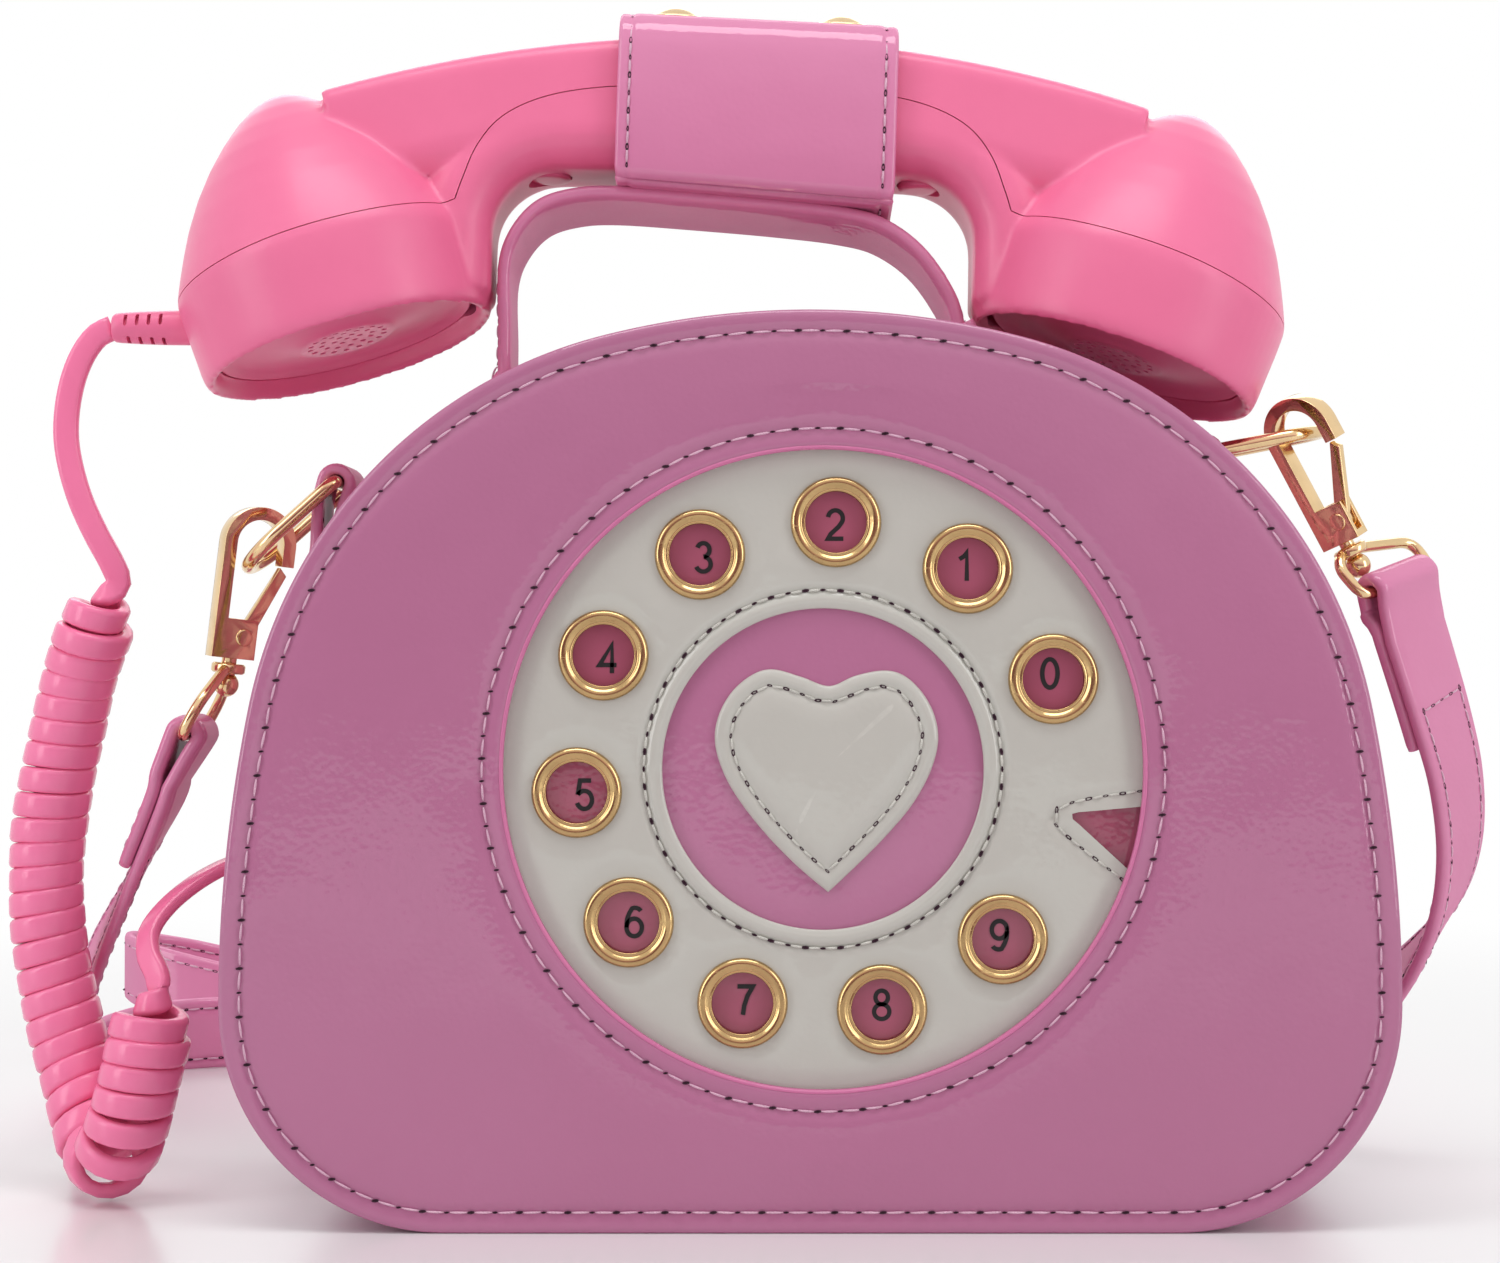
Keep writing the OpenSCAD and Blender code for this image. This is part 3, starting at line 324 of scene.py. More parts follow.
height = add(tree, "ShaderNodeMath", {0: cloud, 1: cardLook["cloud"], 2: height.outputs[0]}, operation="MULTIPLY_ADD")
shade = ranged(tree, height.outputs[0], cardLook["fadeFrom"], cardLook["fadeTo"], 0.0, 1.0,
               interpolation_type="SMOOTHSTEP")
ramp = add(tree, "ShaderNodeValToRGB", {"Fac": shade})
ramp.color_ramp.elements[0].color = cardLook["low"]
ramp.color_ramp.elements[1].color = cardLook["bright"]
ramp.color_ramp.elements.new(cardLook["highAt"]).color = cardLook["high"]
tree.links.new(add(tree, "ShaderNodeEmission", {"Color": ramp.outputs["Color"]}).outputs[0], paintOut)
card.visible_camera = card.visible_diffuse = card.visible_shadow = card.visible_transmission = False
report("camera, lamps and stage")


# the cord, from the handset down to the floor and up into the bag's side

cordMake = {"width": 5.0, "thick": 2.8, "coilRadius": 6.05, "lowRadius": 6.75, "pitch": 4.92, "loopPitch": 6.2,
            "runIn": 7.0, "turnSteps": 18}
upperRoute = [(-138, -2, 172.2), (-141, -2.4, 170.6), (-143.6, -2.8, 167), (-145.6, -3, 162), (-146.8, -3, 156),
              (-147, -3, 150), (-146, -3, 144), (-144, -3, 137.5), (-141, -3, 131), (-138, -3, 125.5),
              (-136.6, -3, 121.6), (-138.4, -3, 118.6)]
coilRoute = [(-138.4, -3, 118.6), (-141.6, -2, 112), (-145, 0, 103), (-147.5, 1, 93), (-150, 1.5, 82),
             (-151.8, 2, 71), (-152.2, 2, 60), (-151.6, 2, 50), (-150, 2, 40.5), (-147.8, 1.5, 31),
             (-145, 0, 22.5), (-142, -3, 15), (-139.4, -6.5, 9.6), (-136.4, -10, 9), (-133.6, -13, 13),
             (-131.4, -14.4, 19), (-129.6, -14.6, 26), (-128, -14.4, 33), (-126.4, -14, 40)]
lowerRoute = [(-126.4, -14, 40), (-127, -12, 44.6), (-129.4, -9, 48.4), (-130, -5, 52.6), (-127.4, -1, 57),
              (-123, 3, 61), (-118, 7, 64), (-113, 9.4, 65.6), (-109, 10, 66)]


def buildCord():
    middle = spline([mm(*p) for p in upperRoute[:-1] + coilRoute[:-1] + lowerRoute], 14)
    run = lengths(middle)
    coilStart = lengths(spline([mm(*p) for p in upperRoute], 14))[-1]
    coilEnd = coilStart + lengths(spline([mm(*p) for p in coilRoute], 14))[-1]
    frames = carriedFrames(middle, Vector((0, -1, 0)))
    route, sides = [], []
    s, phase, k = 0.0, 0.0, 0
    runIn = cordMake["runIn"] / 1000
    while s < run[-1]:
        while run[k + 1] < s:
            k += 1
        t = (s - run[k]) / (run[k + 1] - run[k])
        at = middle[k].lerp(middle[k + 1], t)
        u = frames[k][1].lerp(frames[k + 1][1], t).normalized()
        v = frames[k][2].lerp(frames[k + 1][2], t).normalized()
        inside = smoothStep(coilStart - runIn * 0.4, coilStart + runIn, s) * \
            (1 - smoothStep(coilEnd - runIn, coilEnd + runIn * 0.4, s))
        share = (s - coilStart) / (coilEnd - coilStart)
        low = smoothStep(0.45, 0.8, share)
        radius = (cordMake["coilRadius"] * (1 - low) + cordMake["lowRadius"] * low) / 1000 * inside
        radius *= 1 + 0.025 * math.sin(37 * share) * math.sin(11 * share + 1)
        bend = smoothStep(0.58, 0.68, share) * (1 - smoothStep(0.76, 0.86, share))
        pitch = (cordMake["pitch"] * (1 - bend) + cordMake["loopPitch"] * bend) / 1000
        pitch *= 1 + 0.03 * math.sin(23 * share + 2)
        radial = u * math.cos(phase) + v * math.sin(phase)
        route.append(at + radial * radius)
        sides.append(radial)
        turning = smoothStep(coilStart - runIn * 0.5, coilStart + 0.001, s) * \
            (1 - smoothStep(coilEnd - 0.001, coilEnd + runIn * 0.5, s))
        step = 0.0016 if turning < 0.05 else min(0.0016, pitch / cordMake["turnSteps"] / max(turning, 0.2))
        s += step
        phase += 2 * math.pi * step / pitch * turning
    # an even spacing keeps the flat section from pinching
    route.append(middle[-1])
    sides.append(sides[-1])
    section = roundedSection(cordMake["width"], cordMake["thick"], 1.1, 3)
    directions = tangents(route)
    loops = []
    for at, t, radial in zip(route, directions, sides):
        out = (radial - t * radial.dot(t)).normalized()
        wide = t.cross(out)
        loops.append([at + (wide * a + out * b) / 1000 for a, b in section])
    cord = tidyNormals(rings("curlyCord", loops))
    return cord, route


cord, cordPath = buildCord()
cordLength = lengths(cordPath)[-1]
report("cord, %.3f m" % cordLength)
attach(cord, "bag")
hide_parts("cord_upper", "cord_coil", "cord_lower")


# shader groups shared by the materials

def newGroup(name, amounts, results):
    # a group with a Place vector, number inputs and number outputs
    group = bpy.data.node_groups.new(name, "ShaderNodeTree")
    sockets = group.interface
    sockets.new_socket(name="Place", in_out="INPUT", socket_type="NodeSocketVector")
    for label, value in amounts.items():
        sockets.new_socket(name=label, in_out="INPUT", socket_type="NodeSocketFloat").default_value = value
    for label in results:
        sockets.new_socket(name=label, in_out="OUTPUT", socket_type="NodeSocketFloat")
    return group, group.nodes.new("NodeGroupInput").outputs, group.nodes.new("NodeGroupOutput").inputs


def mixColor(tree, factor, a, b):
    node = add(tree, "ShaderNodeMix", data_type="RGBA", blend_type="MIX")
    for index, value in ((0, factor), (6, a), (7, b)):
        linkOrSet(tree, node.inputs[index], value)
    return node.outputs[2]


def noiseAt(tree, place, scale, detail=2.0, rough=0.5):
    return add(tree, "ShaderNodeTexNoise", {"Vector": place, "Scale": scale, "Detail": detail,
                                            "Roughness": rough}).outputs["Fac"]


def makePatentWaves():
    # lacquered leather: slow waves, faint pebble under the lacquer and a few hair creases
    group, given, out = newGroup("patentWaves", {"Wave Size": 38.0, "Pebble Size": 900.0, "Pebble": 0.06},
                                 ["Height", "Tone", "Smear"])
    place = given["Place"]
    slow = noiseAt(group, place, given["Wave Size"], 1.5, 0.45)
    pebble = add(group, "ShaderNodeTexVoronoi", {"Vector": place, "Scale": given["Pebble Size"]},
                 feature="SMOOTH_F1").outputs["Distance"]
    crease = math2(group, "SUBTRACT", noiseAt(group, place, 140.0, 4.0, 0.6), 0.5)
    line = ranged(group, math2(group, "ABSOLUTE", crease, 0.0), 0.0, 0.012, 0.35, 0.0)
    base = math2(group, "ADD", slow, math2(group, "MULTIPLY", pebble, given["Pebble"]))
    group.links.new(math2(group, "SUBTRACT", base, math2(group, "MULTIPLY", line, 0.008)), out["Height"])
    group.links.new(noiseAt(group, place, 11.0, 3.0, 0.55), out["Tone"])
    group.links.new(ranged(group, noiseAt(group, place, 60.0, 5.0, 0.7), 0.45, 0.75, 0.0, 1.0), out["Smear"])
    return group


def makeEdgeWearAndHighlight():
    # convex edges picked out of the mesh, broken up by noise; the materials paint them paler, as wear and as a painted
    # highlight
    group, given, out = newGroup("edgeWearAndHighlight", {"Start": 0.53, "Full": 0.6, "Breakup": 300.0}, ["Mask"])
    shape = add(group, "ShaderNodeNewGeometry").outputs["Pointiness"]
    edge = ranged(group, shape, given["Start"], given["Full"], 0.0, 1.0)
    broken = ranged(group, noiseAt(group, given["Place"], given["Breakup"], 4.0, 0.6), 0.4, 0.65, 0.0, 1.0)
    group.links.new(math2(group, "MULTIPLY", edge, broken, True), out["Mask"])
    return group


def makeFineGrain():
    # moulded or cast skin: fine speckle for the bump and a broken gloss
    group, given, out = newGroup("fineGrain", {"Grain Size": 2500.0, "Patch Size": 45.0},
                                 ["Height", "Patch", "Scratch"])
    place = given["Place"]
    group.links.new(noiseAt(group, place, given["Grain Size"], 3.0, 0.6), out["Height"])
    group.links.new(noiseAt(group, place, given["Patch Size"], 4.0, 0.6), out["Patch"])
    drawnOut = add(group, "ShaderNodeMapping", {"Vector": place, "Rotation": (0.3, 0.7, 0.2),
                                                "Scale": (90.0, 1400.0, 1400.0)}).outputs[0]
    group.links.new(ranged(group, noiseAt(group, drawnOut, 1.0, 2.0, 0.5), 0.62, 0.72, 0.0, 1.0), out["Scratch"])
    return group


def makeWeave():
    # plain weave: two crossed sets of threads, one over the other in turn; GapShade marks the gaps between threads for
    # painted shade
    group, given, out = newGroup("plainWeave", {"Threads": 1500.0}, ["Height", "GapShade"])
    parts = add(group, "ShaderNodeSeparateXYZ", {"Vector": given["Place"]}).outputs
    across = math2(group, "ADD", parts["X"], parts["Y"])
    along = math2(group, "SUBTRACT", parts["Z"], math2(group, "MULTIPLY", parts["Y"], 0.5))
    waveA, waveB = (add(group, "ShaderNodeMath", {0: math2(group, "MULTIPLY", way, given["Threads"])},
                        operation="SINE").outputs[0] for way in (across, along))
    cross = math2(group, "MULTIPLY", waveA, waveB)
    group.links.new(cross, out["Height"])
    group.links.new(ranged(group, math2(group, "ABSOLUTE", cross, 0.0), 0.0, 0.25, 1.0, 0.0), out["GapShade"])
    return group


shared = {"patent": makePatentWaves(), "wearAndHighlight": makeEdgeWearAndHighlight(), "grain": makeFineGrain(), "weave": makeWeave()}


def useGroup(tree, which, **values):
    node = tree.nodes.new("ShaderNodeGroup")
    node.node_tree = shared[which]
    for label, value in values.items():
        linkOrSet(tree, node.inputs[label.replace("_", " ")], value)
    return node.outputs


def startMaterial(name, **sockets):
    material = bpy.data.materials.new(name)
    tree = nodeTree(material)
    shader = tree.nodes.new("ShaderNodeBsdfPrincipled")
    add(tree, "ShaderNodeOutputMaterial", {0: shader.outputs[0]})
    for label, value in sockets.items():
        shader.inputs[label.replace("_", " ")].default_value = value
    return material, tree, shader.inputs, add(tree, "ShaderNodeTexCoord").outputs["Object"]


def bumpInto(tree, shader, height, strength, distance):
    bump = add(tree, "ShaderNodeBump", {"Height": height, "Strength": strength, "Distance": distance})
    tree.links.new(bump.outputs[0], shader["Normal"])
    return bump.outputs[0]


def linear(red, green, blue):
    # 0-255 screen colour to the shader's linear value
    return tuple(((c / 255 + 0.055) / 1.055) ** 2.4 if c > 10 else c / 255 / 12.92
                 for c in (red, green, blue)) + (1.0,)


def twoTone(tree, mask, low, high, most, color, deep):
    # deep shows in color by up to most, as the mask goes from low to high
    return mixColor(tree, ranged(tree, mask, low, high, 0.0, most), linear(*color), linear(*deep))


def patentLeather(name, color, deep, wave=0.9, waveSize=38.0, rough=0.16):
    # color, with deep mixed in where a slow random tone noise says
    material, tree, shader, place = startMaterial(
        name, Roughness=rough, Specular_IOR_Level=0.0, Coat_Roughness=0.035, Coat_IOR=1.5)
    facing = add(tree, "ShaderNodeLayerWeight", {"Blend": 0.5}).outputs["Facing"]
    tree.links.new(ranged(tree, facing, 0.4, 0.85, 1.0, 0.2), shader["Coat Weight"])
    skin = useGroup(tree, "patent", Place=place, Wave_Size=waveSize)
    # wear and painted highlight: convex edges are mixed towards a paler colour
    wornAndHighlit = math2(tree, "MULTIPLY", useGroup(tree, "wearAndHighlight", Place=place)["Mask"], 0.45)
    pale = linear(*(min(255, c + 22) for c in color))
    tree.links.new(mixColor(tree, wornAndHighlit, twoTone(tree, skin["Tone"], 0.3, 0.7, 0.35, color, deep), pale),
                   shader["Base Color"])
    tree.links.new(ranged(tree, skin["Smear"], 0.0, 1.0, rough * 0.85, rough * 1.5), shader["Roughness"])
    tree.links.new(bumpInto(tree, shader, skin["Height"], wave, 0.0006), shader["Coat Normal"])
    return material


def satinPlastic(name, color, deep, rough=0.42):
    material, tree, shader, place = startMaterial(name, Roughness=rough, Specular_IOR_Level=0.42)
    skin = useGroup(tree, "grain", Place=place)
    # wear and painted highlight: convex edges turn paler and a little glossier
    wearAndHighlight = useGroup(tree, "wearAndHighlight", Place=place, Breakup=220.0)["Mask"]
    pale = linear(*(min(255, c + 16) for c in color))
    body = twoTone(tree, skin["Patch"], 0.35, 0.65, 0.3, color, deep)
    tree.links.new(mixColor(tree, math2(tree, "MULTIPLY", wearAndHighlight, 0.35), body, pale), shader["Base Color"])
    gloss = ranged(tree, skin["Patch"], 0.3, 0.7, rough * 0.9, rough * 1.14)
    tree.links.new(math2(tree, "SUBTRACT", gloss, math2(tree, "MULTIPLY", wearAndHighlight, 0.08)), shader["Roughness"])
    bumpInto(tree, shader, skin["Height"], 0.12, 0.0001)
    return material


def castMetal(name, color, rough, scratch=0.12):
    material, tree, shader, place = startMaterial(name, Metallic=1.0, Roughness=rough)
    skin = useGroup(tree, "grain", Place=place, Grain_Size=1500.0, Patch_Size=120.0)
    # wear and painted highlight: convex edges are mixed towards a brighter colour
    wornAndHighlit = math2(tree, "MULTIPLY", useGroup(tree, "wearAndHighlight", Place=place, Breakup=500.0)["Mask"], 0.5)
    dull = tuple(int(c * 0.86) for c in color)
    bright = linear(*(min(255, int(c * 1.06)) for c in color))
    tree.links.new(mixColor(tree, wornAndHighlit, twoTone(tree, skin["Patch"], 0.35, 0.65, 0.5, color, dull), bright),
                   shader["Base Color"])
    gloss = ranged(tree, skin["Patch"], 0.3, 0.7, rough * 0.8, rough * 1.4)
    tree.links.new(math2(tree, "ADD", gloss, math2(tree, "MULTIPLY", skin["Scratch"], scratch)), shader["Roughness"])
    bumpInto(tree, shader, skin["Height"], 0.05, 0.0001)
    return material


def clothOf(name, color, deep, threads=1500.0, rough=0.75):
    material, tree, shader, place = startMaterial(name, Roughness=rough, Sheen_Weight=0.25, Sheen_Roughness=0.4,
                                                  Specular_IOR_Level=0.25)
    weave = useGroup(tree, "weave", Place=place, Threads=threads)
    body = twoTone(tree, useGroup(tree, "grain", Place=place)["Patch"], 0.35, 0.65, 0.3, color, deep)
    # painted shade: the deep colour is mixed into the gaps between the threads
    tree.links.new(mixColor(tree, math2(tree, "MULTIPLY", weave["GapShade"], 0.35), body, linear(*deep)),
                   shader["Base Color"])
    bumpInto(tree, shader, weave["Height"], 0.35, 0.0001)
    return material


finish = {
    "panel": patentLeather("patentPanel", (186, 116, 152), (174, 103, 139)),
    "strapLeather": patentLeather("patentStrap", (222, 136, 176), (208, 118, 160), wave=0.7, waveSize=70.0),
    "whiteLeather": patentLeather("patentWhite", (196, 193, 186), (184, 181, 173), wave=0.6, waveSize=50.0),
    # painted shade: the backing is a deeper pink than the hub's leather, standing for the shade seen down the eyelets
    "backing": patentLeather("dialBackingPaintedShade", (172, 88, 112), (156, 72, 96), wave=0.5, waveSize=60.0, rough=0.35),
    "gold": castMetal("paleGold", (236, 204, 156), 0.12),
    "satinGold": castMetal("brushedGold", (222, 192, 138), 0.22, 0.2),
    # partly painted shade: a darker copy of the brass, for the shade on the eyelet domes as well as their khaki tone
    "eyeletBrassShaded": castMetal("eyeletBrassShaded", (198, 166, 116), 0.16, 0.2),
    "steel": castMetal("screwSteel", (160, 160, 165), 0.3),
    "handset": satinPlastic("handsetPlastic", (240, 118, 160), (231, 105, 149), rough=0.34),
    "cordJacket": satinPlastic("cordJacket", (250, 130, 174), (242, 116, 162), rough=0.2),
    "dark": satinPlastic("darkPlastic", (40, 38, 42), (26, 25, 28), rough=0.55),
    "boardGreen": satinPlastic("circuitBoardLacquer", (52, 110, 74), (34, 88, 58), rough=0.4),
    "stiffener": satinPlastic("greyBoard", (150, 145, 140), (128, 122, 118), rough=0.8),
    "lining": clothOf("liningCloth", (232, 182, 205), (205, 148, 178)),
    "tape": clothOf("zipTape", (196, 122, 168), (160, 88, 134), threads=3200.0, rough=0.65),
    "paleThread": clothOf("paleThread", (226, 184, 204), (190, 140, 172), threads=9000.0, rough=0.6),
    "whiteThread": clothOf("whiteThread", (214, 212, 204), (150, 146, 140), threads=9000.0, rough=0.6),
    # painted shade: a dark patch stands for the shade inside each needle hole
    "hole": satinPlastic("needleHoleShade", (62, 30, 48), (40, 20, 32), rough=0.8),
    "ink": satinPlastic("blackInk", (24, 22, 24), (16, 15, 17), rough=0.4),
    "edgePaint": satinPlastic("edgePaint", (210, 116, 162), (196, 104, 150), rough=0.25),
}


def dress(thing, which):
    thing.data.materials.clear()
    thing.data.materials.append(finish[which])
    return thing


def place(thing, which, body, slot, *nodes):
    # finish, body and the nodes it stands for, in one line; slot is taken but not used
    dress(thing, which)
    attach(thing, body)
    if nodes:
        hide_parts(*nodes)
    return thing


dress(cord, "cordJacket")
report("materials")


# outline of the bag: four tangent arcs a side

bagShape = {"width": 220.0, "height": 171.6, "depth": 80.0, "corner": 42.0, "side": 280.0, "shoulder": 89.6,
            "crown": 157.0, "panel": 2.4, "lip": 1.2}


def tangentArcs():
    half, corner, side = bagShape["width"] / 2, bagShape["corner"], bagShape["side"]
    shoulder, crown = bagShape["shoulder"], bagShape["crown"]
    sideAt = Vector((half - side, corner))
    crownAt = Vector((0, bagShape["height"] - crown))
    span = (crownAt - sideAt).length
    way = (crownAt - sideAt) / span
    reachA, reachB = side - shoulder, crown - shoulder
    along = (span ** 2 + reachA ** 2 - reachB ** 2) / (2 * span)
    up = math.sqrt(max(0, reachA ** 2 - along ** 2))
    shoulderAt = sideAt + along * way + up * Vector((-way.y, way.x))
    toSide = shoulderAt - sideAt
    toCrown = shoulderAt - crownAt
    return (Vector((half - corner, corner)), sideAt, shoulderAt, crownAt,
            math.atan2(toSide.y, toSide.x), math.atan2(toCrown.y, toCrown.x))


cornerAt, sideAt, shoulderAt, crownAt, sideTurn, crownTurn = tangentArcs()


def bagOutline(inset, step=2.0):
    # closed outline in millimetres, starting at the bottom middle and going round by the right side
    def sweepArc(c, r, a0, a1):
        n = max(2, int(abs(a1 - a0) * r / step))
        return [c + (r - inset) * Vector((math.cos(a0 + (a1 - a0) * i / n), math.sin(a0 + (a1 - a0) * i / n)))
                for i in range(n)]
    base = cornerAt.x
    n = max(2, int(base / step))
    half = [Vector((base * i / n, inset)) for i in range(n)]
    half += sweepArc(cornerAt, bagShape["corner"], -math.pi / 2, 0)
    half += sweepArc(sideAt, bagShape["side"], 0, sideTurn)
    half += sweepArc(shoulderAt, bagShape["shoulder"], sideTurn, crownTurn)
    half += sweepArc(crownAt, bagShape["crown"], crownTurn, math.pi / 2)
    top = Vector((0, bagShape["height"] - inset))
    return half + [top] + [Vector((-p.x, p.y)) for p in reversed(half[1:])]


def insideReach(centre, angle, inset):
    # distance from a centre to the outline along an angle
    key = (centre.x, centre.y, inset)
    if key not in outlineCache:
        outlineCache[key] = sorted((math.atan2(p.y - centre.y, p.x - centre.x), p.x, p.y)
                                   for p in bagOutline(inset, 1.5))
    turned = outlineCache[key]
    angle = math.remainder(angle, 2 * math.pi)
    k = bisect.bisect(turned, (angle,))
    a, b = Vector(turned[k - 1][1:]), Vector(turned[k % len(turned)][1:])
    edge, rel = b - a, a - centre
    return (rel.x * edge.y - rel.y * edge.x) / (math.cos(angle) * edge.y - math.sin(angle) * edge.x)


outlineCache = {}  # sorted outlines by centre and inset


def spokeRow(centre, spokes, reach, depth):
    # a loop round a centre in the plane of the panels: reach(i) is its radius, depth(i, x, z, r) its y
    row = []
    for i in range(spokes):
        a, r = 2 * math.pi * i / spokes, reach(i)
        x, z = centre.x + r * math.cos(a), centre.y + r * math.sin(a)
        row.append(mm(x, depth(i, x, z, r), z))
    return row


def reaches(centre, spokes, inset):
    return [insideReach(centre, 2 * math.pi * i / spokes, inset) for i in range(spokes)]


def roundSkin(name, spokes, edge, fill, depth):
    # a face inside the bag's outline: (inset, y) rows in from the edge, then fill rows closing on the middle;
    # depth(x, z, inset) is the y where a row has none
    centre = Vector((0, 84))
    loops = []
    for inset, y in edge:
        far = reaches(centre, spokes, inset)
        loops.append(spokeRow(centre, spokes, lambda i: far[i],
                              lambda i, x, z, r: depth(x, z, inset) if y is None else y))
    for k in range(1, fill):
        loops.append(spokeRow(centre, spokes, lambda i: far[i] * (1 - k / fill),
                              lambda i, x, z, r: depth(x, z, inset + far[i] - r)))
    return tidyNormals(rings(name, loops))


def archHeight(x, inset):
    if abs(x) < crownTurnX:
        return crownAt.y + math.sqrt((bagShape["crown"] - inset) ** 2 - x * x)
    return shoulderAt.y + math.sqrt(max(0, (bagShape["shoulder"] - inset) ** 2 - (abs(x) - shoulderAt.x) ** 2))


crownTurnX = bagShape["crown"] * math.cos(crownTurn)


# stitches

def stitchRow(name, line, outward, length, radius, closed=False, dip=0.35):
    # thread segments along points already one stitch apart; outward(i) is the surface normal there
    verts, faces = [], []
    count = len(line) if closed else len(line) - 1
    for i in range(count):
        a, b = line[i], line[(i + 1) % len(line)]
        way = (b - a).normalized()
        normal = outward(i)
        side = way.cross(normal)
        mid = (a + b) / 2
        way = (way + side * random.uniform(-0.05, 0.05)).normalized()
        side = way.cross(normal)
        lift = random.uniform(-0.04, 0.04) * radius
        loops, segments = [], 6
        for k in range(segments + 1):
            t = k / segments
            swell = math.sin(math.pi * (0.12 + 0.76 * t)) ** 0.6
            drop = (2 * t - 1) ** 4 * dip
            here = mid + way * (t - 0.5) * length + normal * (radius * 0.45 - drop + lift)
            loops.append([here + (side * math.cos(turn) + normal * math.sin(turn) * 0.85) * radius * swell
                          for turn in (math.pi * 2 * j / 6 for j in range(6))])
        stack(verts, faces, loops)
    return addMesh(name, [v / 1000 for v in verts], faces)


def needleHoles(name, line, outward, radius, closed=False, lift=0.03, slit=None):
    # a dark slit with a turned-in rim at each stitch end, every other one opened wider; slit is its direction; the dark
    # colour is painted shade in the hole
    verts, faces = [], []
    for i, at in enumerate(line):
        normal = outward(i)
        nxt = line[(i + 1) % len(line)] if closed or i < len(line) - 1 else line[i - 1]
        way = slit if slit else nxt - at
        way = (way - normal * way.dot(normal)).normalized()
        side = way.cross(normal)
        size = radius * (1.12 if i % 2 else 0.78)
        stack(verts, faces, [[at + (way * math.cos(turn) * 1.75 + side * math.sin(turn) * 0.75) * size * scale
                              + normal * depth for turn in (math.pi * 2 * j / 8 for j in range(8))]
                             for scale, depth in ((1.0, lift), (0.7, lift + 0.05), (0.3, lift - 0.25))], False)
    return addMesh(name, [v / 1000 for v in verts], faces)


def sewn(name, line, outward, body, slot, thread="paleThread", pitch=4.5, radius=0.22, closed=False, share=0.74,
         gapHoles=True, slit=None):
    # one seam: thread and needle holes; line in millimetres, outward one direction or a rule for each stitch
    spaced = resample(line, pitch, closed)
    facing = outward if callable(outward) else lambda i: outward
    place(stitchRow(name, spaced, facing, pitch * share, radius, closed), thread, body, slot)
    if gapHoles:
        # the holes are dark patches of painted shade
        pricks = needleHoles(name + "Holes", spaced, facing, 0.2 + radius * 0.8, closed, slit=slit)
        place(pricks, "hole", body, slot)


# front and back panels

panelMake = {"spokes": 420, "seamInset": 4.0, "seamDepth": 0.42, "seamWidth": 1.3, "puff": 0.55,
             "windowRadius": 59.7, "windowSeam": 63.4, "dial": (2.4, 86.1)}
dialAt = Vector(panelMake["dial"])


def seamDip(distance, width, depth):
    return depth * math.exp(-(distance / width) ** 2)


def surfaceWander(x, z, seed):
    # slow hand-made unevenness, in millimetres
    return 0.16 * noise.noise(Vector((x / 42, z / 42, seed))) + 0.06 * noise.noise(Vector((x / 17, z / 17, seed + 5)))


def frontHeight(x, z, rim, fromWindow):
    # how far the leather stands out, from its distances to the rim and to the window's edge
    rise = panelMake["puff"] * smoothStep(0, 14, rim) * smoothStep(0, 14, fromWindow)
    rise += surfaceWander(x, z, 3.1) * smoothStep(0, 10, rim) * smoothStep(0, 8, fromWindow)
    rise -= seamDip(rim - panelMake["seamInset"], panelMake["seamWidth"], panelMake["seamDepth"])
    rise -= seamDip(fromWindow - (panelMake["windowSeam"] - panelMake["windowRadius"]),
                    panelMake["seamWidth"], panelMake["seamDepth"] * 0.9)
    return rise


def panelWithWindow():
    # polar grid round the dial: window lip, seams, open face, outer edge, back
    depth, half, radius = bagShape["panel"], bagShape["depth"] / 2, panelMake["windowRadius"]
    lipIn, openFrom = 13.0, 12.0  # the open face lies between these insets from the rim and from the window
    spokes = panelMake["spokes"]
    toRim = {d: reaches(dialAt, spokes, d)
             for d in (0.0, 0.05, 0.35, 1.0, 1.5, 2.1, 2.7, 3.0, 3.2, 3.6, 3.9, 4.2, 4.5, 4.9, 5.4, 6.0, 6.8, 8.0, 10.0,
                       lipIn)}
    loops = []

    def row(reach, y):
        loops.append(spokeRow(dialAt, spokes, reach, y))

    for r, y in ((radius + 3, depth), (radius + 0.2, depth), (radius, depth - 0.4), (radius, 0.9),
                 (radius + 0.18, 0.42), (radius + 0.55, 0.1)):
        row(lambda i: r, lambda i, x, z, s: -half + y)
    for d in (1.0, 1.6, 2.2, 2.8, 3.3, 3.7, 4.1, 4.6, 5.2, 6.0, 7.2, 9.0, openFrom):
        row(lambda i: radius + d,
            lambda i, x, z, s: -half - frontHeight(x, z, (toRim[0.0][i] - radius - d) * 0.93, d))
    for t in (k / 13 for k in range(1, 13)):
        row(lambda i: (radius + openFrom) * (1 - t) + toRim[lipIn][i] * t,
            lambda i, x, z, s: -half - frontHeight(x, z, rimDistance(x, z), s - radius))
    for d in (lipIn, 10.0, 8.0, 6.8, 6.0, 5.4, 4.9, 4.5, 4.2, 3.9, 3.6, 3.2, 2.7, 2.1, 1.5, 1.0):
        row(lambda i: toRim[d][i], lambda i, x, z, s: -half - frontHeight(x, z, d, s - radius))
    for d, y in ((0.35, 0.22), (0.05, 0.65), (0.0, 1.1), (0.0, depth - 0.4), (0.35, depth), (3.0, depth)):
        row(lambda i: toRim[d][i], lambda i, x, z, s: -half + y)
    return tidyNormals(rings("frontPanelLeather", loops, wrap=True))


